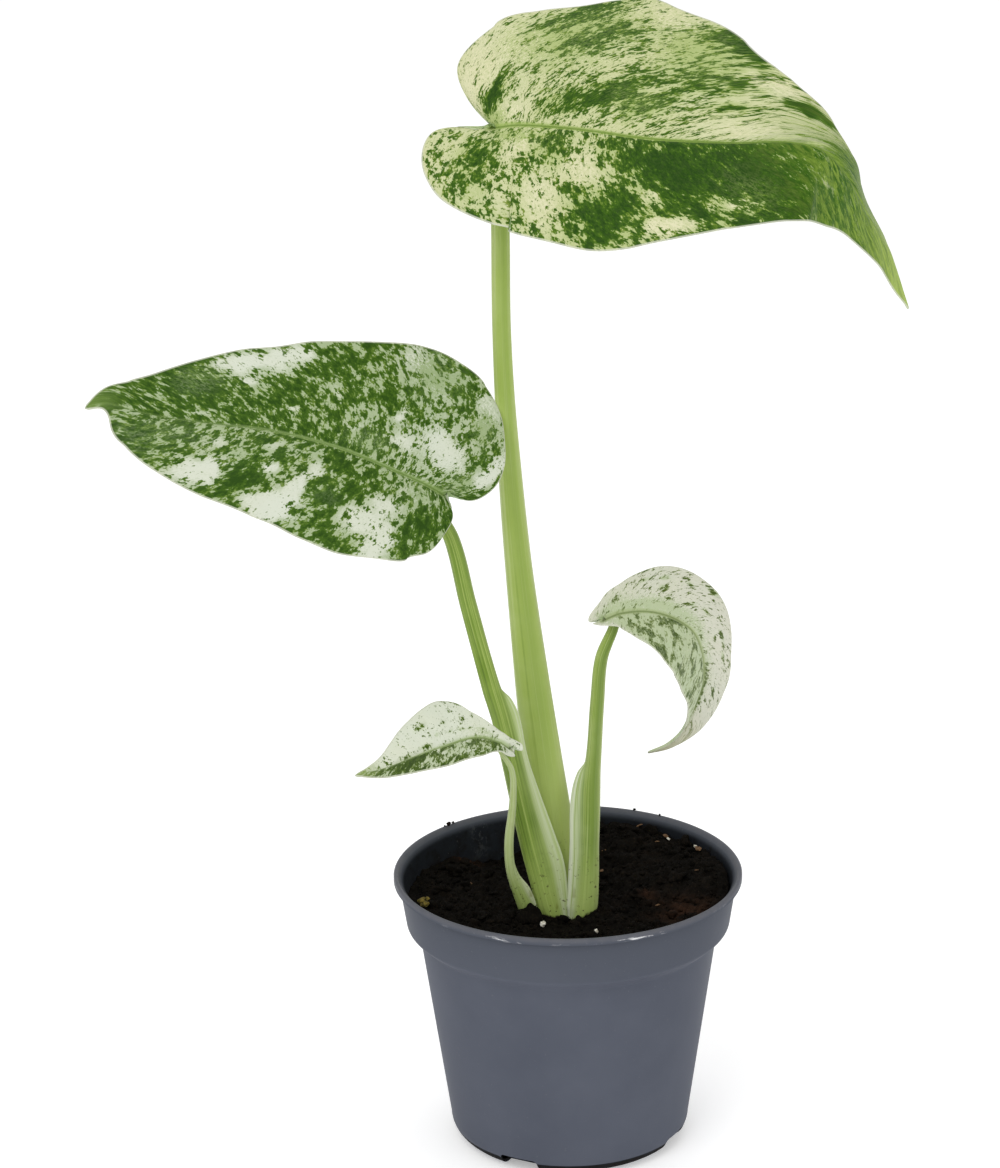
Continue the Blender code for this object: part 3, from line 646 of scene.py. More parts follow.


# the leaves. The rib is x, y and z from the stalk to the tip, and each edge (along, across) it.
# The green of each half goes by its length, then come single patches as (along, across, length,
# width, strength), the first four in hundredths of the blade, green above 0 and pale below.

# The hazes, in the same form, mark the pale green veil, partly the leaf's own tone and partly a painted
# sheen.
bladeTall = {
    "rib": [(-22, -6, 361), (-13.5, -7, 362), (5.5, -10, 361), (28.5, -14, 358.5), (55.5, -19, 358),
        (73, -21, 358.5), (84.5, -19, 355), (93, -13, 344.5), (100, -6, 330.5), (108.5, 2, 315),
        (115.5, 10, 295)],
    "turn": 1, "width": 50, "roll": [(0, 44), (0.6, 45), (0.8, 34), (1, 26)], "nearFold": [(0, 4), (1, 4)],
    "farFold": [(0, 4), (0.5, 6), (0.6, -4), (0.75, -26), (1, -30)], "curl": (-10, -14),
    "nearEdge": [(-4.5, 0.8), (-13, -1.7), (-20.5, -0.5), (-23.5, 6.5), (-22.5, 16), (-16.5, 26.5), (-1, 37),
        (17, 42.5), (39.5, 45), (60, 39), (81, 32.4), (100, 30), (121.5, 22), (136, 14.8), (152, 10.5),
        (168, 7.4), (182.5, 0.4)],
    "farEdge": [(-0.5, -0.5), (-8.5, -12), (-12, -25), (-7, -34.5), (7, -45), (20, -50.5), (32, -55),
        (42, -57), (56, -52.5), (76, -41.6), (95, -25), (106, -16.6), (112, -10.8), (119, -10), (134, -13),
        (152, -12.5), (168, -10.5), (182.5, -0.4)],
    "wave": (0.7, 34, 0.6), "sweep": 1.9, "arch": 0.12, "rows": 210, "columns": 52, "veinGap": 9,
    "lean": (0.22, 0.05), "grain": ((1.2, 0.8), (1.05, 0.75)), "short": [(0.3, 1), (0.65, 1.3)],
    "farGreen": [(0, -0.2), (0.1, -0.5), (0.22, -0.45), (0.28, -0.2), (0.42, -0.25), (0.5, -0.2),
        (0.6, -0.25), (0.745, -0.3), (0.775, 0.8), (1, 0.9)],
    "nearGreen": [(0, -0.1), (0.12, -0.3), (0.2, -0.1), (0.3, 0.1), (0.4, -0.1), (0.48, 0.25), (0.55, 1.05),
        (0.65, 1.25), (0.76, 0.95), (0.85, 1), (1, 1)],
    "farPatches": [(14, -31, 5, 10, 1.8), (18.5, -42, 2, 8, 1.6), (29, -15, 3, 10, 0.5),
        (41, -28, 2.5, 10, 1.7), (34.5, -20, 3.5, 8, 0.9), (46, -22, 3, 6, 0.8), (53, -93, 5, 8, 1.6),
        (29, -88, 3.5, 10, 1.2), (35, -70, 3.5, 10, 1), (31, -62, 3, 7, 0.7), (57, -66, 2.8, 7, 1.4),
        (53, -52, 3, 5, 1.1), (60, -44, 2, 6, 1.4), (50, -36, 2, 8, 0.7), (51, -58, 1.5, 5, 0.8),
        (67.2, -80, 1.6, 6, 2.2), (69, -90, 1.5, 6, 2.2), (75.5, -40, 1.2, 20, 0.8), (45, -45, 3, 15, 0.3),
        (12, -70, 5, 20, -0.5), (20, -60, 4, 20, -0.4), (66, -20, 7, 12, -0.5), (42, -90, 5, 8, -0.6),
        (18, -12, 6, 5, -0.5), (63, -87, 3, 10, -0.5)],
    "nearPatches": [(17, 42, 5, 20, 0.7), (19, 70, 4, 15, 0.3), (33, 20, 3.5, 12, 0.8),
        (44, 72, 4.5, 18, 1.2), (42, 92, 3.5, 8, 0.7), (53, 30, 5, 25, 0.8), (63, 35, 5, 20, 0.6),
        (47, 18, 3, 10, 0.6), (25, 20, 4.5, 14, -0.7), (41, 35, 4, 16, -0.6), (34, 65, 4.5, 22, -0.6),
        (25, 60, 3, 30, -0.3), (52, 90, 4, 9, -1.6), (60, 76, 2.5, 9, -1.5), (51, 60, 1.8, 8, -1),
        (75, 50, 3, 5, -1), (70, 25, 3, 5, -0.6)],
    "hazesAndSheen": [(8, -12, 7, 10, 1), (30, -70, 8, 25, 0.5), (50, -75, 7, 20, 0.6), (63, 60, 3, 25, 0.3),
        (46, -25, 5, 12, 0.6), (22, 12, 10, 10, 0.5)],
    "hazeAndSheen": 0.4, "pale": tint(216, 214, 178), "veil": tint(160, 178, 108), "olive": tint(128, 146, 62),
    "mid": tint(84, 116, 28), "dark": tint(54, 90, 10), "deep": tint(32, 66, 6),
    "ribColour": tint(150, 174, 88), "tipColour": tint(180, 202, 96), "seed": 1, "tailShare": 0.75,
    "tail": tint(48, 94, 6), "tailLight": tint(142, 170, 64), "mosaic": 0.7, "dots": 0.6, "crisp": 1.25,
    "flecks": 0.6, "tipFrom": 0.8,
}
bladeLeft = {
    "rib": [(-39.5, -33, 245), (-45.5, -34, 249), (-53.5, -36, 253.5), (-72.5, -41, 263.5), (-94, -46, 271),
        (-116.5, -51, 275.5), (-130, -54, 278.5), (-139, -56, 281.5), (-145, -57, 283.5),
        (-152, -58, 282.5)],
    "turn": -1, "width": 46, "roll": [(0, 36), (0.6, 36), (1, 34)], "nearFold": [(0, 8), (1, 6)],
    "farFold": [(0, 12), (1, 8)], "curl": (-20, -8),
    "nearEdge": [(-0.5, 0.5), (-5, 6), (-4.5, 13.5), (-1, 24.5), (7, 31.5), (20, 36), (36, 39.5), (50, 39),
        (61, 36), (70, 34.5), (90, 27.5), (106, 18), (113.5, 10.5), (118, 2), (123.5, 0.4)],
    "farEdge": [(-0.5, -0.5), (-10, -3.2), (-15.4, -11.5), (-16, -20), (-13.5, -28), (-8, -37.5),
        (3.5, -45.8), (11, -49), (19, -48), (32, -43), (51.5, -36), (62, -31.2), (73, -28.5), (94, -19.5),
        (110, -10.5), (119, -4.2), (123.5, -0.4)],
    "wave": (0.6, 30, 2), "sweep": 1.9, "arch": 0.12, "rows": 180, "columns": 44, "veinGap": 8,
    "lean": (0.05, 0), "grain": ((1.1, 0.8), (1.05, 0.7)), "short": [(0.5, 1), (0.9, 1.3)],
    "farGreen": [(0, 0.9), (0.15, 0.5), (0.25, 0.05), (0.35, 0.15), (0.5, 0.4), (0.7, 0.6), (0.8, 0.85),
        (0.9, 0.7), (1, 0.8)],
    "nearGreen": [(0, 0.7), (0.1, 0.55), (0.2, 0.45), (0.3, 0.35), (0.4, 0.35), (0.5, 0.5), (0.6, 0.35),
        (0.68, 0.5), (0.8, 0.4), (0.88, 0.7), (1, 0.6)],
    "farPatches": [(14, -75, 3, 30, -1.9), (20, -38, 3.5, 6, -1.2), (28, -33, 6.5, 10, -1.7),
        (40, -22, 4.5, 7, -1.1), (27, -88, 2.5, 10, -1.2), (41, -88, 3, 10, -1.5), (37, -70, 2, 7, -0.7),
        (70, -84, 6.5, 13, -1.9), (62, -90, 3, 8, -1.4), (72, -62, 2.2, 7, -1.3), (43, -42, 1.1, 4, -1.6),
        (65, -30, 1.1, 5, -1.3), (52, -22, 3, 6, -0.5), (82, -15, 2, 8, -0.8), (56, -50, 1.3, 8, -0.8),
        (66, -48, 3.5, 12, 0.6), (60, -10, 6, 8, 0.5), (55, -85, 3, 12, 0.5), (43, -55, 5, 8, 0.4),
        (80, -75, 3, 20, 0.6), (33, -80, 2, 15, 0.4)],
    "nearPatches": [(36, 42, 4, 10, -1.6), (32, 86, 2.8, 20, -2), (38, 65, 4.5, 12, -1.5),
        (43, 62, 3, 10, -0.8), (57, 80, 3, 20, -2), (61, 88, 3.5, 12, -1.6), (56, 35, 1.8, 10, -1.2),
        (57.5, 55, 2, 14, -1), (64.5, 48, 1.6, 10, -1.6), (75, 80, 4, 15, -1.9), (74, 65, 2, 10, -1.2),
        (77, 35, 2, 12, -0.8), (23, 22, 5, 5, -1), (31, 20, 3, 6, -0.6), (67, 20, 1.5, 8, -0.8),
        (50, 55, 2.8, 12, 1.1), (51, 17, 4.5, 7, 1), (68.5, 72, 2.8, 20, 1.2), (20, 50, 8, 20, 0.5),
        (25, 80, 3.5, 20, 0.8), (40, 93, 4, 7, 0.6), (87, 80, 4, 15, 0.4)],
    "hazesAndSheen": [(10, -30, 10, 20, 1), (38, -80, 5, 20, 0.7), (80, -70, 4, 20, 1), (48, -15, 6, 8, 0.8),
        (25, -75, 4, 20, 0.7), (25, 20, 8, 12, 0.6), (87, 75, 4, 20, 0.9), (85, 30, 6, 20, 0.6),
        (50, 55, 3, 10, 0.4)],
    "hazeAndSheen": 0.25, "pale": tint(209, 214, 198), "veil": tint(146, 166, 116), "olive": tint(122, 144, 70),
    "mid": tint(90, 118, 42), "dark": tint(64, 96, 24), "deep": tint(42, 72, 14),
    "ribColour": tint(146, 170, 104), "tipColour": tint(112, 138, 66), "seed": 2, "mosaic": 1.6, "dots": 0.6,
    "crisp": 1.1, "flecks": 0.85, "tipFrom": 0.93,
}
bladeRight = {
    "rib": [(13.5, -4, 191.5), (18.5, -4, 193.5), (27.5, -5, 194.5), (36, -4, 192), (43.5, -2, 186),
        (47, 2, 176), (47.5, 7, 165), (45, 12, 154.5), (41, 17, 143), (35.5, 20, 136.5), (28.5, 22, 132.5)],
    "turn": 1, "width": 20, "roll": [(0, 38), (0.4, 42), (1, 44)],
    "nearFold": [(0, 8), (0.5, 12), (0.75, 30), (1, 30)], "farFold": [(0, 12), (0.5, 6), (1, 2)],
    "curl": (-12, -20),
    "nearEdge": [(-5.2, -0.6), (-3.4, 0.9), (-0.6, 2.6), (3.4, 5.4), (8, 8.6), (14, 13), (22, 17.5),
        (32, 19.4), (44, 16.5), (55, 13), (66.5, 8), (78, 5.5), (88, 4), (99, 0.4)],
    "farEdge": [(-0.5, -0.5), (-5.5, -1), (-5, -3), (1, -7.2), (5.5, -10.5), (10, -14), (17, -18), (25, -20),
        (33, -19.5), (43, -17), (54, -14.5), (66, -14.5), (77, -14.5), (88, -6), (99, -0.4)],
    "wave": (0.3, 22, 1), "sweep": 1.5, "arch": 0.1, "rows": 130, "columns": 28, "veinGap": 6,
    "lean": (0.1, 0), "grain": ((1.5, 0.9), (1.3, 0.8)), "short": [(0, 1), (1, 1)],
    "farGreen": [(0, -0.75), (0.5, -0.85), (1, -0.6)],
    "nearGreen": [(0, -0.7), (0.25, -0.4), (0.45, -0.3), (0.6, -0.25), (0.8, -0.45), (1, -0.8)],
    "farPatches": [(31.5, -72, 1.4, 4.5, 1.9), (38, -73, 1.2, 3, 1.4), (42, -95, 1.5, 6, 1.6),
        (15, -52, 2, 8, 1.2), (32.5, -50, 1.1, 5, 1.6), (35, -34, 1.2, 3.5, 1.4), (42, -42, 0.9, 5, 1.2),
        (54, -67, 1, 7, 1.3), (57, -68, 1, 5, 1.3), (61, -65, 1.4, 6, 1.7), (55, -42, 1.1, 4, 1.5),
        (73, -45, 1.2, 8, 1.4), (10, -33, 1.2, 7, 1.1), (52, -10, 2, 4, 1.4), (26, -70, 1, 5, 1.1),
        (46, -50, 0.9, 5, 1), (25, -97, 1.2, 4, 1.3), (72, -4, 9, 4.5, 1.5)],
    "nearPatches": [(20, 50, 2.2, 25, 1.1), (26, 55, 2.5, 12, 1.4), (29, 87, 3.5, 9, 2.2),
        (33, 12, 3, 9, 1.6), (40, 6, 3, 7, 2.4), (38, 30, 2, 5, 1.6), (38, 52, 0.8, 4, 1.5),
        (43, 82, 3.5, 4, 1.8), (50, 22, 2, 5, 1.6), (59, 20, 3, 6, 1.7), (52, 45, 3, 5, 0.9),
        (62, 85, 4, 6, 1.2), (64, 10, 2, 10, 1.2), (23, 15, 2, 5, 1), (45, 20, 2, 6, -0.8)],
    "hazesAndSheen": [(40, 50, 30, 50, 1.3), (70, 40, 10, 40, 0.9), (10, -30, 10, 40, 0.6), (30, -15, 20, 15, 0.5)],
    "hazeAndSheen": 0.3, "pale": tint(208, 208, 194), "veil": tint(173, 187, 148), "olive": tint(132, 144, 96),
    "mid": tint(100, 116, 58), "dark": tint(76, 94, 38), "deep": tint(58, 76, 26),
    "ribColour": tint(164, 178, 128), "tipColour": tint(196, 194, 152), "seed": 3, "mosaic": 1.1,
    "dots": 0.5, "crisp": 1.3, "flecks": 0.6, "tipFrom": 0.8,
}
bladeLow = {
    "rib": [(-19.5, -30, 155), (-22.5, -31, 157.5), (-30.5, -33, 160), (-41.5, -36, 158), (-48, -38, 156.5),
        (-54.5, -40, 154.5), (-61.5, -42, 152.5), (-70.5, -44, 151)],
    "turn": -1, "width": 16, "roll": [(0, 26), (1, 24)], "nearFold": [(0, 24), (1, 16)],
    "farFold": [(0, 16), (1, 10)], "curl": (-14, -6),
    "nearEdge": [(-0.5, 0.5), (-2.5, 2.5), (0, 5), (6, 7), (14, 12.8), (23.5, 13), (32, 12), (40, 9),
        (47.5, 5.5), (52, 2.8), (55, 0.3)],
    "farEdge": [(-0.5, -0.5), (-5.5, -2), (-4.5, -4), (2.5, -3.5), (8.5, -6.2), (12, -9.3), (15.5, -15),
        (20, -18), (26, -16.8), (34.5, -12.5), (44, -5.5), (50.5, -2), (55, -0.3)],
    "wave": (0.2, 18, 0), "sweep": 1.5, "arch": 0.1, "rows": 96, "columns": 24, "veinGap": 5, "lean": (0, 0),
    "grain": ((1.6, 1), (1.6, 0.6)), "short": [(0, 1), (1, 1)],
    "farGreen": [(0, -1.2), (0.16, -0.6), (0.25, -0.8), (0.35, -1), (0.85, -1), (1, -0.3)],
    "nearGreen": [(0, -1.2), (0.12, -0.6), (0.2, 0.6), (0.3, 0.35), (0.4, 0.3), (0.6, 0.25), (0.7, 0.7),
        (0.8, 0.8), (1, 0.6)],
    "farPatches": [(63, -65, 2.2, 8, 1.7), (52, -48, 1.2, 5, 1.5), (40, -27, 1, 5, 1.6),
        (45, -22, 3, 3.5, 1.7), (58, -30, 1.2, 4, 1.5), (66, -13, 3, 7, 1.5), (51, -26, 1.2, 3, 1.3),
        (30, -6, 6, 4, 1.2), (50, -5, 10, 4, 0.8), (77, -10, 5, 10, 1)],
    "nearPatches": [(23, 30, 3.5, 25, 0.7), (38, 15, 3, 20, 1), (52, 15, 3, 25, 1), (75, 30, 5, 40, 1),
        (33, 8, 2.5, 10, -1.2), (45, 20, 2.5, 18, -1.1), (57, 40, 2, 15, -1.1), (40, 60, 5, 10, -1),
        (62, 12, 2, 15, -1), (66, 65, 3, 15, -0.6)],
    "hazesAndSheen": [(40, 40, 30, 50, 0.5), (30, -30, 8, 20, 0.5)], "hazeAndSheen": 0.16, "pale": tint(218, 222, 206),
    "veil": tint(178, 192, 152), "olive": tint(138, 154, 96), "mid": tint(100, 122, 48),
    "dark": tint(74, 97, 30), "deep": tint(52, 74, 18), "ribColour": tint(176, 194, 140),
    "tipColour": tint(142, 162, 86), "seed": 4, "mosaic": 1.2, "dots": 0.9, "crisp": 1, "flecks": 0.4,
    "tipFrom": 0.85,
}
leafSkin = {
    "thickness": 0.62, "margin": 0.42, "ribDepth": 1.5, "ribWidth": 1.5, "grooveDepth": 0.55,
    "grooveWidth": 0.8, "veinDepth": 0.16, "veinWidth": 0.7, "rimBulge": 0.4, "crowding": 1.15,
    "ribSteps": 301, "edgeSteps": 401,
}


class LeafShape:
    # maps a flat leaf outline onto its arched, folded and rolled surface
    def __init__(self, design):
        self.design = design
        self.rib, self.length = smoothLine(design["rib"], leafSkin["ribSteps"])
        self.share = np.linspace(0, 1, leafSkin["ribSteps"])
        tangent = unit(np.gradient(self.rib, axis=0))
        front = np.array([0.0, -1.0, 0.0])
        side = unit(front - (tangent @ front)[:, None] * tangent)
        up = design["turn"] * np.cross(side, tangent)
        roll = np.radians(ramped(design["roll"], self.share))[:, None]
        self.tangent = tangent
        self.side = np.cos(roll) * side - np.sin(roll) * up
        self.up = np.cos(roll) * up + np.sin(roll) * side
        self.edges = [smoothLine(design[half], leafSkin["edgeSteps"])[0] for half in ("nearEdge", "farEdge")]

    def alongRib(self, values, share):
        return np.stack([np.interp(share, self.share, values[..., k]) for k in range(3)], -1)

    def place(self, along, across):
        design = self.design
        share = np.clip(along / self.length, 0, 1)
        tangent = self.alongRib(self.tangent, share)
        side = self.alongRib(self.side, share)
        up = self.alongRib(self.up, share)
        past = np.minimum(along, 0) + np.maximum(along - self.length, 0)
        middle = self.alongRib(self.rib, share) + tangent * past[..., None]
        near = across >= 0
        fold = np.radians(np.where(near, ramped(design["nearFold"], share), ramped(design["farFold"], share)))
        width = np.abs(across)
        bend = np.radians(np.where(near, *design["curl"])) * width / design["width"]
        bend = np.where(np.abs(bend) < 1e-4, 1e-4, bend)
        out = width * (np.sin(fold + bend) - np.sin(fold)) / bend
        rise = width * (np.cos(fold) - np.cos(fold + bend)) / bend
        height, pitch, lag = design["wave"]
        rise += height * (width / design["width"]) ** 2 * np.sin(2 * pi * along / pitch + lag + 2.1 * near)
        return middle + side * (out * np.where(near, 1, -1))[..., None] + up * rise[..., None]

    def flat(self, row, column):
        # row 0 to 1 from stalk to tip, column -1 to 1 from far to near edge
        root = self.length * row ** self.design["sweep"]
        share = np.abs(column)
        steps = np.linspace(0, 1, leafSkin["edgeSteps"])
        halves = []
        for edge in self.edges:
            endAlong = np.interp(row, steps, edge[:, 0])
            endAcross = np.interp(row, steps, edge[:, 1])
            midAlong = 0.5 * (root + endAlong) - self.design["arch"] * np.abs(endAcross)
            along = (1 - share) ** 2 * root + 2 * share * (1 - share) * midAlong + share ** 2 * endAlong
            halves.append((along, share * endAcross))
        return [np.where(column >= 0, near, far) for near, far in zip(*halves)]

    def seat(self, inward, depth):
        # the point under the rib that the stalk's top meets, and the way it leaves the blade
        share = np.array(inward / self.length)
        up = self.alongRib(self.up, share)
        return self.alongRib(self.rib, share) - up * depth, -up


def patchSum(patches, along, across, lean):
    total = np.zeros_like(along)
    for *hundredths, strength in patches:
        t, v, length, width = (part / 100 for part in hundredths)
        shift = along - t - lean * (np.abs(across) - abs(v))
        total += strength * np.exp(-((shift / length) ** 2 + ((across - v) / width) ** 2))
    return total


def leafMarks(design, row, column, along, across, reach, stride, inset):
    # what the leaf's finish reads at each point
    flat = np.column_stack([along, across, 0 * row])
    t = row + 0.018 * noiseAt(flat, 5.0, 7.0 * design["seed"])
    v = column + 0.07 * noiseAt(flat, 5.0, 30.0 + design["seed"])
    near = column >= 0
    farSpots = patchSum(design["farPatches"], t, v, design["lean"][0])
    nearSpots = patchSum(design["nearPatches"], t, v, design["lean"][1])
    green = design["crisp"] * np.where(near, nearSpots, farSpots)
    green += np.where(near, ramped(design["nearGreen"], t), ramped(design["farGreen"], t))
    # the haze marks the pale green veil: partly the leaf's own tone, partly a painted sheen
    hazeAndSheen = design["hazeAndSheen"] + patchSum(design["hazesAndSheen"], t, v, 0.0)
    lean = np.where(near, design["lean"][1], design["lean"][0]) * stride.max()
    farGrain, nearGrain = design["grain"]
    grainU = np.where(near, nearGrain[0], farGrain[0]) * (stride - lean * np.abs(column))
    grainV = np.where(near, nearGrain[1], farGrain[1] * ramped(design["short"], row)) * reach
    grain = np.column_stack([grainU, grainV, 60.0 * design["seed"] + 25.0 * near])
    return {"green": np.clip(green, -2.2, 2.2), "hazeAndSheen": np.clip(hazeAndSheen, 0, 1), "grain": grain,
            "fromRib": np.hypot(across, np.minimum(along + 1.0, 0)), "margin": inset, "tipward": row}


def makeBlade(name, design, node):
    shape = LeafShape(design)
    rows, half = design["rows"], design["columns"]
    spread = np.linspace(0, 1, half + 1) ** leafSkin["crowding"]
    columns = np.concatenate([-spread[::-1], spread[1:]])
    width = len(columns)
    row, column = np.meshgrid(np.linspace(0, 1, rows + 1), columns, indexing="ij")
    along, across = shape.flat(row, column)
    surface = shape.place(along, across)
    lengthways = np.gradient(surface, axis=0)
    crossways = np.gradient(surface, axis=1)
    normal = design["turn"] * np.cross(crossways, lengthways)
    normal /= np.maximum(np.linalg.norm(normal, axis=2), 1e-9)[..., None]
    if (normal * shape.alongRib(shape.up, np.clip(along / shape.length, 0, 1))).sum() < 0:
        normal = -normal
    steps = np.linalg.norm(np.diff(surface, axis=1), axis=2)
    reach = np.zeros_like(row)
    reach[:, half + 1:] = np.cumsum(steps[:, half:], axis=1)
    reach[:, :half] = np.cumsum(steps[:, :half][:, ::-1], axis=1)[:, ::-1]
    inset = np.where(column >= 0, reach[:, -1:], reach[:, :1]) - reach
    stride = np.zeros_like(row)
    for side in (1, -1):
        path = surface[:, half + side * int(0.6 * half)]
        walked = np.append(0.0, np.cumsum(np.linalg.norm(np.diff(path, axis=0), axis=1)))
        stride += np.where(side * (column + 1e-6) > 0, walked[:, None], 0.0)
    fromRib = np.hypot(across, np.minimum(along + 1.0, 0))
    veinPhase = (row * shape.length * 1.08 / design["veinGap"]) % 1.0
    gap = np.minimum(veinPhase, 1 - veinPhase) * design["veinGap"]
    toEdge = 1 - np.abs(column)
    fade = np.clip((fromRib - 1.0) / 4.0, 0, 1) * np.clip(toEdge * 6.0, 0, 1) * np.clip(row * 6, 0, 1)
    swell = -0.45 * np.cos(2 * pi * veinPhase) - hill(gap, leafSkin["veinWidth"])
    veins = leafSkin["veinDepth"] * fade * swell
    groove = leafSkin["grooveDepth"] * hill(fromRib, leafSkin["grooveWidth"]) * np.clip((1 - row) * 5, 0, 1)
    upper = surface + normal * (veins - groove)[..., None]
    inward = leafSkin["thickness"] - leafSkin["margin"]
    field = leafSkin["margin"] + inward * np.clip(toEdge * 5, 0, 1)
    keel = leafSkin["ribDepth"] * hill(fromRib, leafSkin["ribWidth"]) * np.clip((1 - row) * 2.5, 0.12, 1)
    lower = surface - normal * (field + keel - 0.7 * veins)[..., None]
    count = (rows - 1) * width

    def asList(grid):
        # inner rows first, then the stalk end and the tip
        inner = grid[1:rows].reshape(count, -1)
        ends = np.stack([grid[0].reshape(width, -1).mean(0), grid[rows].reshape(width, -1).mean(0)])
        return np.vstack([inner, ends])

    top, bottom = asList(upper), asList(lower)
    grids = (row, column, along, across, reach, stride, inset)
    marks = leafMarks(design, *(asList(grid[..., None])[:, 0] for grid in grids))
    one = count + 2
    faces = []
    for r in range(rows - 2):
        for c in range(width - 1):
            a = r * width + c
            faces.append((a, a + 1, a + width + 1, a + width))
    for c in range(width - 1):
        faces.append((count, c + 1, c))
        faces.append((count + 1, (rows - 2) * width + c, (rows - 2) * width + c + 1))
    under = [tuple(i + one for i in reversed(f)) for f in faces]
    farRim = [r * width for r in range(rows - 1)]
    loop = np.array([count] + farRim + [count + 1] + [i + width - 1 for i in reversed(farRim)])
    outward = np.zeros((len(loop), 3))
    for k, i in enumerate(loop):
        inside = i + 1 if k <= rows - 1 else i - 1
        if i < count:
            outward[k] = top[i] - top[inside]
    outward[0], outward[rows] = top[count] - top[half], top[count + 1] - top[(rows - 2) * width + half]
    thick = np.linalg.norm(top[loop] - bottom[loop], axis=1)
    lip = (top[loop] + bottom[loop]) / 2 + unit(outward) * (leafSkin["rimBulge"] * thick)[:, None]
    points = np.vstack([top, bottom, lip])
    total = len(loop)
    rim = []
    for k in range(total):
        n = (k + 1) % total
        lipHere, lipNext = 2 * one + k, 2 * one + n
        rim.append((loop[k], loop[n], lipNext, lipHere))
        rim.append((lipHere, lipNext, loop[n] + one, loop[k] + one))
    stored = {key: np.concatenate([values, values, values[loop]]) for key, values in marks.items()}
    stored["under"] = np.repeat([0.0, 1.0, 0.5], [one, one, total])
    piece = makePiece(name, points * mm, faces + under + rim, leafFinish(name, design), stored)
    builder = bmesh.new()
    builder.from_mesh(piece.data)
    bmesh.ops.recalc_face_normals(builder, faces=builder.faces)
    builder.to_mesh(piece.data)
    builder.free()
    settle(piece, "leaf", node)
    return shape


def leafFinish(name, design):
    leaf = Finish(name + "_skin", 0.42, 0.09)
    green, hazeAndSheen, grain = leaf.stored("green"), leaf.stored("hazeAndSheen"), leaf.stored("grain", "Vector")
    fromRib, margin, tipward, under = (leaf.stored(k) for k in ("fromRib", "margin", "tipward", "under"))
    pale, veil, olive, mid, dark = (design[k] for k in ("pale", "veil", "olive", "mid", "dark"))
    broad = leaf.speckle(grain, 0.2, 4.0, 0.62, 0.4)
    fine = leaf.speckle(grain, 0.7, 4.0, 0.62, 0.4)
    dots = leaf.speckle(grain, 1.7, 2.0, 0.55)
    mosaic = leaf.speckle(grain, 0.36, 3.0, 0.5, 0.3)
    cover = green * 0.3 + (broad - 0.5) * 1.4 + (mosaic - 0.5) * design["mosaic"]
    cover = cover + (fine - 0.5) * 1.7 + (dots - 0.5) * design["dots"] + 0.5
    # pale tissue, thinly veiled with green, partly its own tone and partly a painted sheen where the haze
    # lies, then the green cells over it
    thin = leaf.speckle(grain, 1.3, 5.0, 0.75, 0.2)
    veilShare = leaf.between(thin + hazeAndSheen * 0.25 + green * 0.06, 0.5, 0.64)
    veilShare = veilShare * leaf.between(hazeAndSheen, 0.0, 0.9, 0.15, 0.85)
    steeped = leaf.between(green + (thin - 0.5) * 2.0, -1.1, 0.6, 0.0, 0.8)
    ground = leaf.blend(veilShare.atLeast(steeped), pale, veil)
    depth = leaf.speckle(grain, 0.5, 5.0, 0.7)
    tones = [(0.47, olive), (0.53, mid), (0.6, dark), (0.8, design["deep"])]
    cells = leaf.ramp(cover * 0.5 + depth * 0.5, tones)
    flecks = leaf.spots(grain, 0.75, 2.0, 0.5, 0.64, 0.68)
    ground = leaf.blend(flecks * design["flecks"], ground, mid)
    leaf.colour = leaf.blend(leaf.between(cover, 0.44, 0.56), ground, cells)
    # more veil where the haze is strong: partly the leaf's own tone, partly a painted sheen
    leaf.coat(leaf.between(thin, 0.42, 0.6) * leaf.between(hazeAndSheen, 0.25, 1.0, 0.0, 0.4), veil)
    leaf.coat(leaf.spots(grain, 0.06, 2.0, 0.55, 0.3, 0.7) * 0.3, (1.0, 0.97, 0.88, 1.0), "MULTIPLY")
    if "tail" in design:
        tailShare = leaf.between(tipward, 0.62, 0.8) * leaf.between(thin, 0.4, 0.6, 0.6, 1.0)
        tail = leaf.ramp(mosaic * 0.5 + fine * 0.5, [(0.46, design["tail"]), (0.56, design["tailLight"])])
        leaf.coat(tailShare * design["tailShare"], tail)
    tipShare = leaf.between(tipward, design["tipFrom"], 1.0) * leaf.between(fine, 0.35, 0.6, 0.4, 0.9)
    leaf.coat(tipShare, design["tipColour"])
    ribShare = leaf.between(fromRib * leaf.between(tipward, 0.0, 0.6, 0.5, 1.1), 0.3, 1.0, 1.0, 0.0)
    leaf.coat(ribShare * leaf.between(tipward, 0.45, 0.95, 0.75, 0.1), design["ribColour"])
    leaf.coat(leaf.between(fromRib, 0.1, 0.45, 0.6, 0.0) * leaf.between(tipward, 0.3, 0.8, 1.0, 0.2), mid)
    leaf.coat(leaf.between(margin, 0.15, 0.6, 0.75, 0.0), tint(206, 208, 190))
    back = leaf.blend(0.45, leaf.colour, tint(158, 182, 132))
    leaf.coat(leaf.between(under, 0.5, 0.9), back)
    sides = leaf.speckle(leaf.stretch(grain, 1.4, 0.12, 1.0), 1.0, 3.0)
    height = fine * 0.3 + leaf.cells(grain, 3.2) * 0.3 + sides * 0.6
    gloss = leaf.between(fine, 0.3, 0.7, 0.36, 0.5) + under * 0.15
    return leaf.end(height, 0.00016, 0.6, Roughness=gloss)


# the stalks: x, y, z, half width, half depth, left wing, right wing

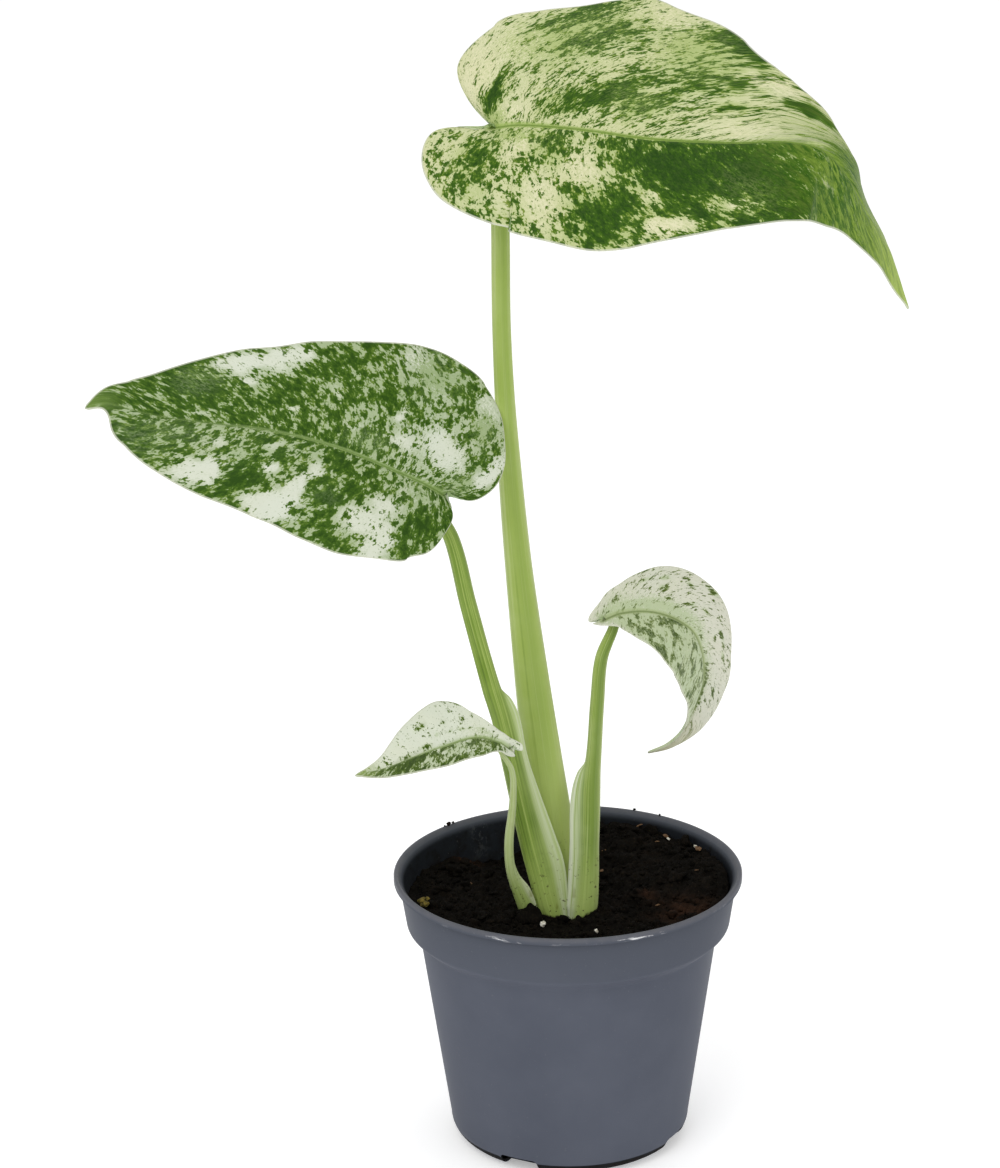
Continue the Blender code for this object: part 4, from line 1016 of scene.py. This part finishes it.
stalkTall = {
    "stations": [(-2.2, -5, 84.3, 5.2, 4.2, 0, 0.6), (-2.9, -3.5, 91.5, 5.6, 4.4, 0, 1.4),
        (-4, -1.4, 103.2, 5.9, 4.5, 0, 1.6), (-5.6, 0.4, 116.6, 6.3, 4.5, 0, 1.1),
        (-8.2, 1.2, 138.3, 6.6, 4.4, 0, 0.2), (-11.6, 1, 167.8, 6, 4.2, 0, 0),
        (-15.9, 0, 211.4, 4.5, 3.8, 0, 0), (-19.1, -1, 257.4, 3.6, 3.2, 0, 0),
        (-20.3, -2, 292.2, 3.2, 2.9, 0, 0), (-20.2, -2.6, 322.8, 3, 2.7, 0, 0),
        (-20.1, -1.6, 346.4, 2.8, 2.5, 0, 0)],
    "inward": 2.4, "rings": 190, "sides": 80, "stripes": 2.6, "base": tint(157, 178, 88),
    "line": tint(134, 157, 68), "pale": tint(184, 198, 130), "wing": tint(190, 204, 138),
    "foot": tint(206, 222, 132), "margin": tint(206, 216, 168), "flankShading": tint(190, 200, 150), "shade": 0.7,
    "contrast": 0.8, "footReach": 75,
}
stalkLeft = {
    "stations": [(-5.6, -14, 84.3, 3, 2.4, 0, 3.2), (-7.9, -14, 92, 3.3, 2.6, 0, 5),
        (-10.8, -12.8, 104, 3.5, 2.7, 0, 6.4), (-13.3, -12, 114.5, 3.4, 2.7, 0, 5.8),
        (-16.3, -12, 128.8, 3.2, 2.6, 0, 4.4), (-19.1, -12.8, 143.6, 3.1, 2.6, 0, 3),
        (-22.3, -15.5, 159.5, 3, 2.5, 0, 3.6), (-23.9, -17, 166.5, 3.1, 2.5, 0, 2.4),
        (-25, -18, 171, 3.2, 2.5, 0, 0), (-32.3, -25, 203.9, 2.8, 2.4, 0, 0),
        (-37.2, -30.5, 228.5, 2.5, 2.1, 0, 0)],
    "inward": 2.2, "rings": 150, "sides": 72, "stripes": 2.8, "base": tint(114, 141, 48),
    "line": tint(82, 110, 30), "pale": tint(158, 177, 92), "wing": tint(176, 193, 130),
    "foot": tint(176, 196, 108), "margin": tint(196, 207, 168), "flankShading": tint(150, 166, 104), "shade": 0,
    "contrast": 1.3, "footReach": 30,
}
stalkRight = {
    "stations": [(5.1, -14.5, 84.3, 3.2, 2.6, 2.4, 0), (6.6, -14.5, 89.5, 3.4, 2.8, 3.9, 0),
        (7.5, -12.5, 100.2, 3.2, 2.7, 4.2, 0), (7.9, -10, 111.5, 3, 2.6, 4.1, 0),
        (8.3, -7.8, 121.8, 3, 2.5, 4.4, 0), (8.5, -6.2, 130, 3, 2.5, 3.8, 0),
        (8.8, -5.4, 136, 2.8, 2.4, 2.4, 0), (9.1, -4.9, 140, 2.7, 2.4, 0, 0),
        (10.6, -3.4, 161.8, 2.4, 2.2, 0, 0), (12.1, -2.6, 177, 2.2, 2.1, 0, 0)],
    "inward": 1.6, "rings": 130, "sides": 72, "stripes": 3, "base": tint(144, 165, 78),
    "line": tint(104, 130, 46), "pale": tint(186, 200, 136), "wing": tint(190, 203, 158),
    "foot": tint(176, 196, 112), "margin": tint(212, 218, 194), "flankShading": tint(184, 196, 154), "shade": 0.85,
    "contrast": 1.3, "footReach": 26,
}
stalkLow = {
    "stations": [(-12.2, -15.2, 84.3, 2.2, 1.9, 0, 0.6), (-14.8, -17.2, 91.5, 2.4, 1.9, 0, 1.6),
        (-17, -18.4, 97.5, 2, 1.7, 0, 2.2), (-18.9, -19.3, 103.5, 1.7, 1.6, 0, 0.8),
        (-19.8, -20, 109, 1.6, 1.6, 0, 0), (-19.9, -21, 118, 1.5, 1.5, 0, 0),
        (-18.4, -23.4, 133, 1.2, 1.3, 0, 0), (-18.6, -26.6, 145.5, 1, 1.1, 0, 0)],
    "inward": 1.4, "rings": 110, "sides": 56, "stripes": 2, "base": tint(170, 185, 124),
    "line": tint(138, 158, 80), "pale": tint(194, 205, 158), "wing": tint(196, 206, 160),
    "foot": tint(144, 168, 74), "margin": tint(222, 226, 206), "flankShading": tint(170, 182, 132), "shade": 0.2,
    "contrast": 1.1, "footReach": 20,
}


stalkSkin = {
    "ribDepth": 0.1, "ribLength": 60.0, "grainLength": 90.0, "wingSpread": 0.42, "widestWing": 2.6,
    "shadeAt": 5.0, "shadeSpread": 0.55, "footHeight": 15.0, "narrowing": 0.8,
}


def makeStalk(name, plan, seat, node):
    top, leave = seat
    line = np.array(plan["stations"], float)
    halfWidth, halfDepth = line[-1, 3:5] * stalkSkin["narrowing"]
    knee = np.concatenate([top + leave * 2.2 * halfWidth, [halfWidth, halfDepth, 0.0, 0.0]])
    end = np.concatenate([top, [halfWidth, halfDepth, 0.0, 0.0]])
    rings, sides = plan["rings"], plan["sides"]
    line, length = smoothLine(np.vstack([line, knee, end]), rings)
    heading = np.gradient(line[:, :3], axis=0)
    heading[0], heading[-1] = (0.0, 0.0, 1.0), -leave
    heading = unit(heading)
    across = unit(np.cross(heading, (0.0, -1.0, 0.0)))
    back = np.cross(heading, across)
    turn = circle(sides)
    right = hill(np.minimum(turn, 2 * pi - turn), stalkSkin["wingSpread"])
    left = hill(turn - pi, stalkSkin["wingSpread"])
    points, grain, wing, foot = [], [], [], []
    # painted shading: the stalk's two flanks get their own paler, greyer tint
    flankShading = np.tile(np.abs(np.cos(turn)) ** 6, rings)
    shade = np.tile(hill(turn - stalkSkin["shadeAt"], stalkSkin["shadeSpread"]), rings)
    around = [(cos(a) * plan["stripes"], sin(a) * plan["stripes"]) for a in turn]
    for k in range(rings):
        halfWidth, halfDepth, wingLeft, wingRight = line[k, 3:]
        far = length * k / (rings - 1)
        ribs = np.array([noise.noise(Vector((x, y, far / stalkSkin["ribLength"]))) for x, y in around])
        swell = 1.0 + stalkSkin["ribDepth"] * ribs * min(1.0, 3.0 / halfWidth)
        wide = halfWidth * np.cos(turn) * swell + wingRight * right - wingLeft * left
        deep = halfDepth * np.sin(turn) * swell
        points += list(line[k, :3] + wide[:, None] * across[k] + deep[:, None] * back[k])
        grain += [(x, y, far / stalkSkin["grainLength"]) for x, y in around]
        widest = max(stalkSkin["widestWing"], wingRight + wingLeft)
        wing += list((wingRight * right + wingLeft * left) / widest)
        high = line[k, 2] - soil["level"]
        near = high < stalkSkin["footHeight"]
        foot += [z - soilHeight(x, y) for x, y, z in points[-sides:]] if near else [high] * sides
    points += [line[0, :3], line[-1, :3]]
    grain += [(0, 0, 0), (0, 0, length / stalkSkin["grainLength"])]
    wing += [0, 0]
    foot += [-4.0, line[-1, 2]]
    count = rings * sides
    faces = [face[::-1] for face in ringFaces(0, rings, sides, count, count + 1)]
    stored = {"grain": np.array(grain), "wing": wing, "foot": foot,
              "flankShading": np.append(flankShading, (0, 0)), "shade": np.append(shade, (0, 0))}
    piece = makePiece(name, np.array(points) * mm, faces, stalkFinish(name, plan), stored)
    settle(piece, "stalk", node)


def stalkFinish(name, plan):
    stalk = Finish(name + "_skin", 0.4, 0.22)
    place = stalk.place()
    grain = stalk.stored("grain", "Vector")
    wing, foot, flankShading, shade = (stalk.stored(key) for key in ("wing", "foot", "flankShading", "shade"))
    broad = stalk.speckle(stalk.stretch(grain, 1.0, 1.0, 0.5), 0.9, 2.0, 0.5)
    thin = stalk.speckle(stalk.stretch(grain, 1.0, 1.0, 0.35), 3.0, 3.0, 0.6)
    hair = stalk.speckle(stalk.stretch(grain, 1.0, 1.0, 0.25), 9.0, 2.0, 0.6)
    stripes = (broad * 0.4 + thin * 0.4 + hair * 0.2 - 0.5) * plan["contrast"] + 0.5
    tones = [(0.39, plan["line"]), (0.465, plan["base"]), (0.53, plan["base"]), (0.6, plan["pale"])]
    stalk.colour = stalk.ramp(stripes, tones)
    stalk.coat(stalk.spots(place, 60.0, 3.0, 0.55, 0.4, 0.7) * 0.3, plan["pale"])
    stalk.coat(shade * plan["shade"], plan["line"])
    # painted shading: the flanks are tinted paler and greyer than the front
    stalk.coat(flankShading * 0.5, plan["flankShading"])
    # the foot is paler, in part painted light that lifts the shade the other stalks cast on it, and so are
    # the sheath's wings, most at their margins
    stalk.coat(stalk.between(foot, 6.0, plan["footReach"], 0.6, 0.0), plan["foot"])
    skins = [(0.36, plan["base"]), (0.47, plan["wing"]), (0.6, plan["margin"])]
    stalk.coat(stalk.between(wing, 0.12, 0.6, 0.0, 0.8), stalk.ramp(thin * 0.6 + hair * 0.4, skins))
    stalk.coat(stalk.between(wing + thin * 0.3, 1.0, 1.18, 0.0, 0.75), plan["margin"])
    # specks, scars and a little mud near the soil
    specks = stalk.spots(place, 620.0, 4.0, 0.7, 0.6, 0.66)
    stalk.coat(specks * stalk.between(foot, 3.0, 30.0, 0.9, 0.0), tint(58, 48, 26))
    scars = stalk.spots(stalk.stretch(place, 1.0, 1.0, 0.4), 190.0, 3.0, 0.6, 0.6, 0.68)
    stalk.coat(scars * stalk.between(foot, 3.0, 16.0, 0.7, 0.0), tint(120, 128, 56))
    mud = stalk.between(stalk.speckle(place, 260.0, 4.0, 0.65) * 5.0 - 0.6 - foot, 0.5, 1.6)
    stalk.coat(mud, tint(30, 22, 15))
    gloss = stalk.between(thin, 0.3, 0.7, 0.36, 0.5)
    return stalk.end(thin * 0.5 + broad * 0.3 + hair * 0.2, 0.0005, 0.6, Roughness=gloss)


plant = (("tall", bladeTall, stalkTall), ("left", bladeLeft, stalkLeft),
         ("right", bladeRight, stalkRight), ("low", bladeLow, stalkLow))
for leafName, blade, stalkPlan in plant:
    leafShape = makeBlade("leaf_" + leafName, blade, "blade_" + leafName)
    makeStalk("stalk_" + leafName, stalkPlan, leafShape.seat(stalkPlan["inward"], 1.3), "petiole_" + leafName)
    print("leaf", leafName, "done")


# stem and roots, under the soil, which keep the CAD's shape

rootSkin = bitFinish("root_bark_fine", 0.85, 0.2, 0.0005, 300.0,
                     [(0.35, tint(120, 92, 58)), (0.65, tint(196, 172, 128))])
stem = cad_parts["stem_base"]
for materialSlot in stem.material_slots:
    materialSlot.material = rootSkin
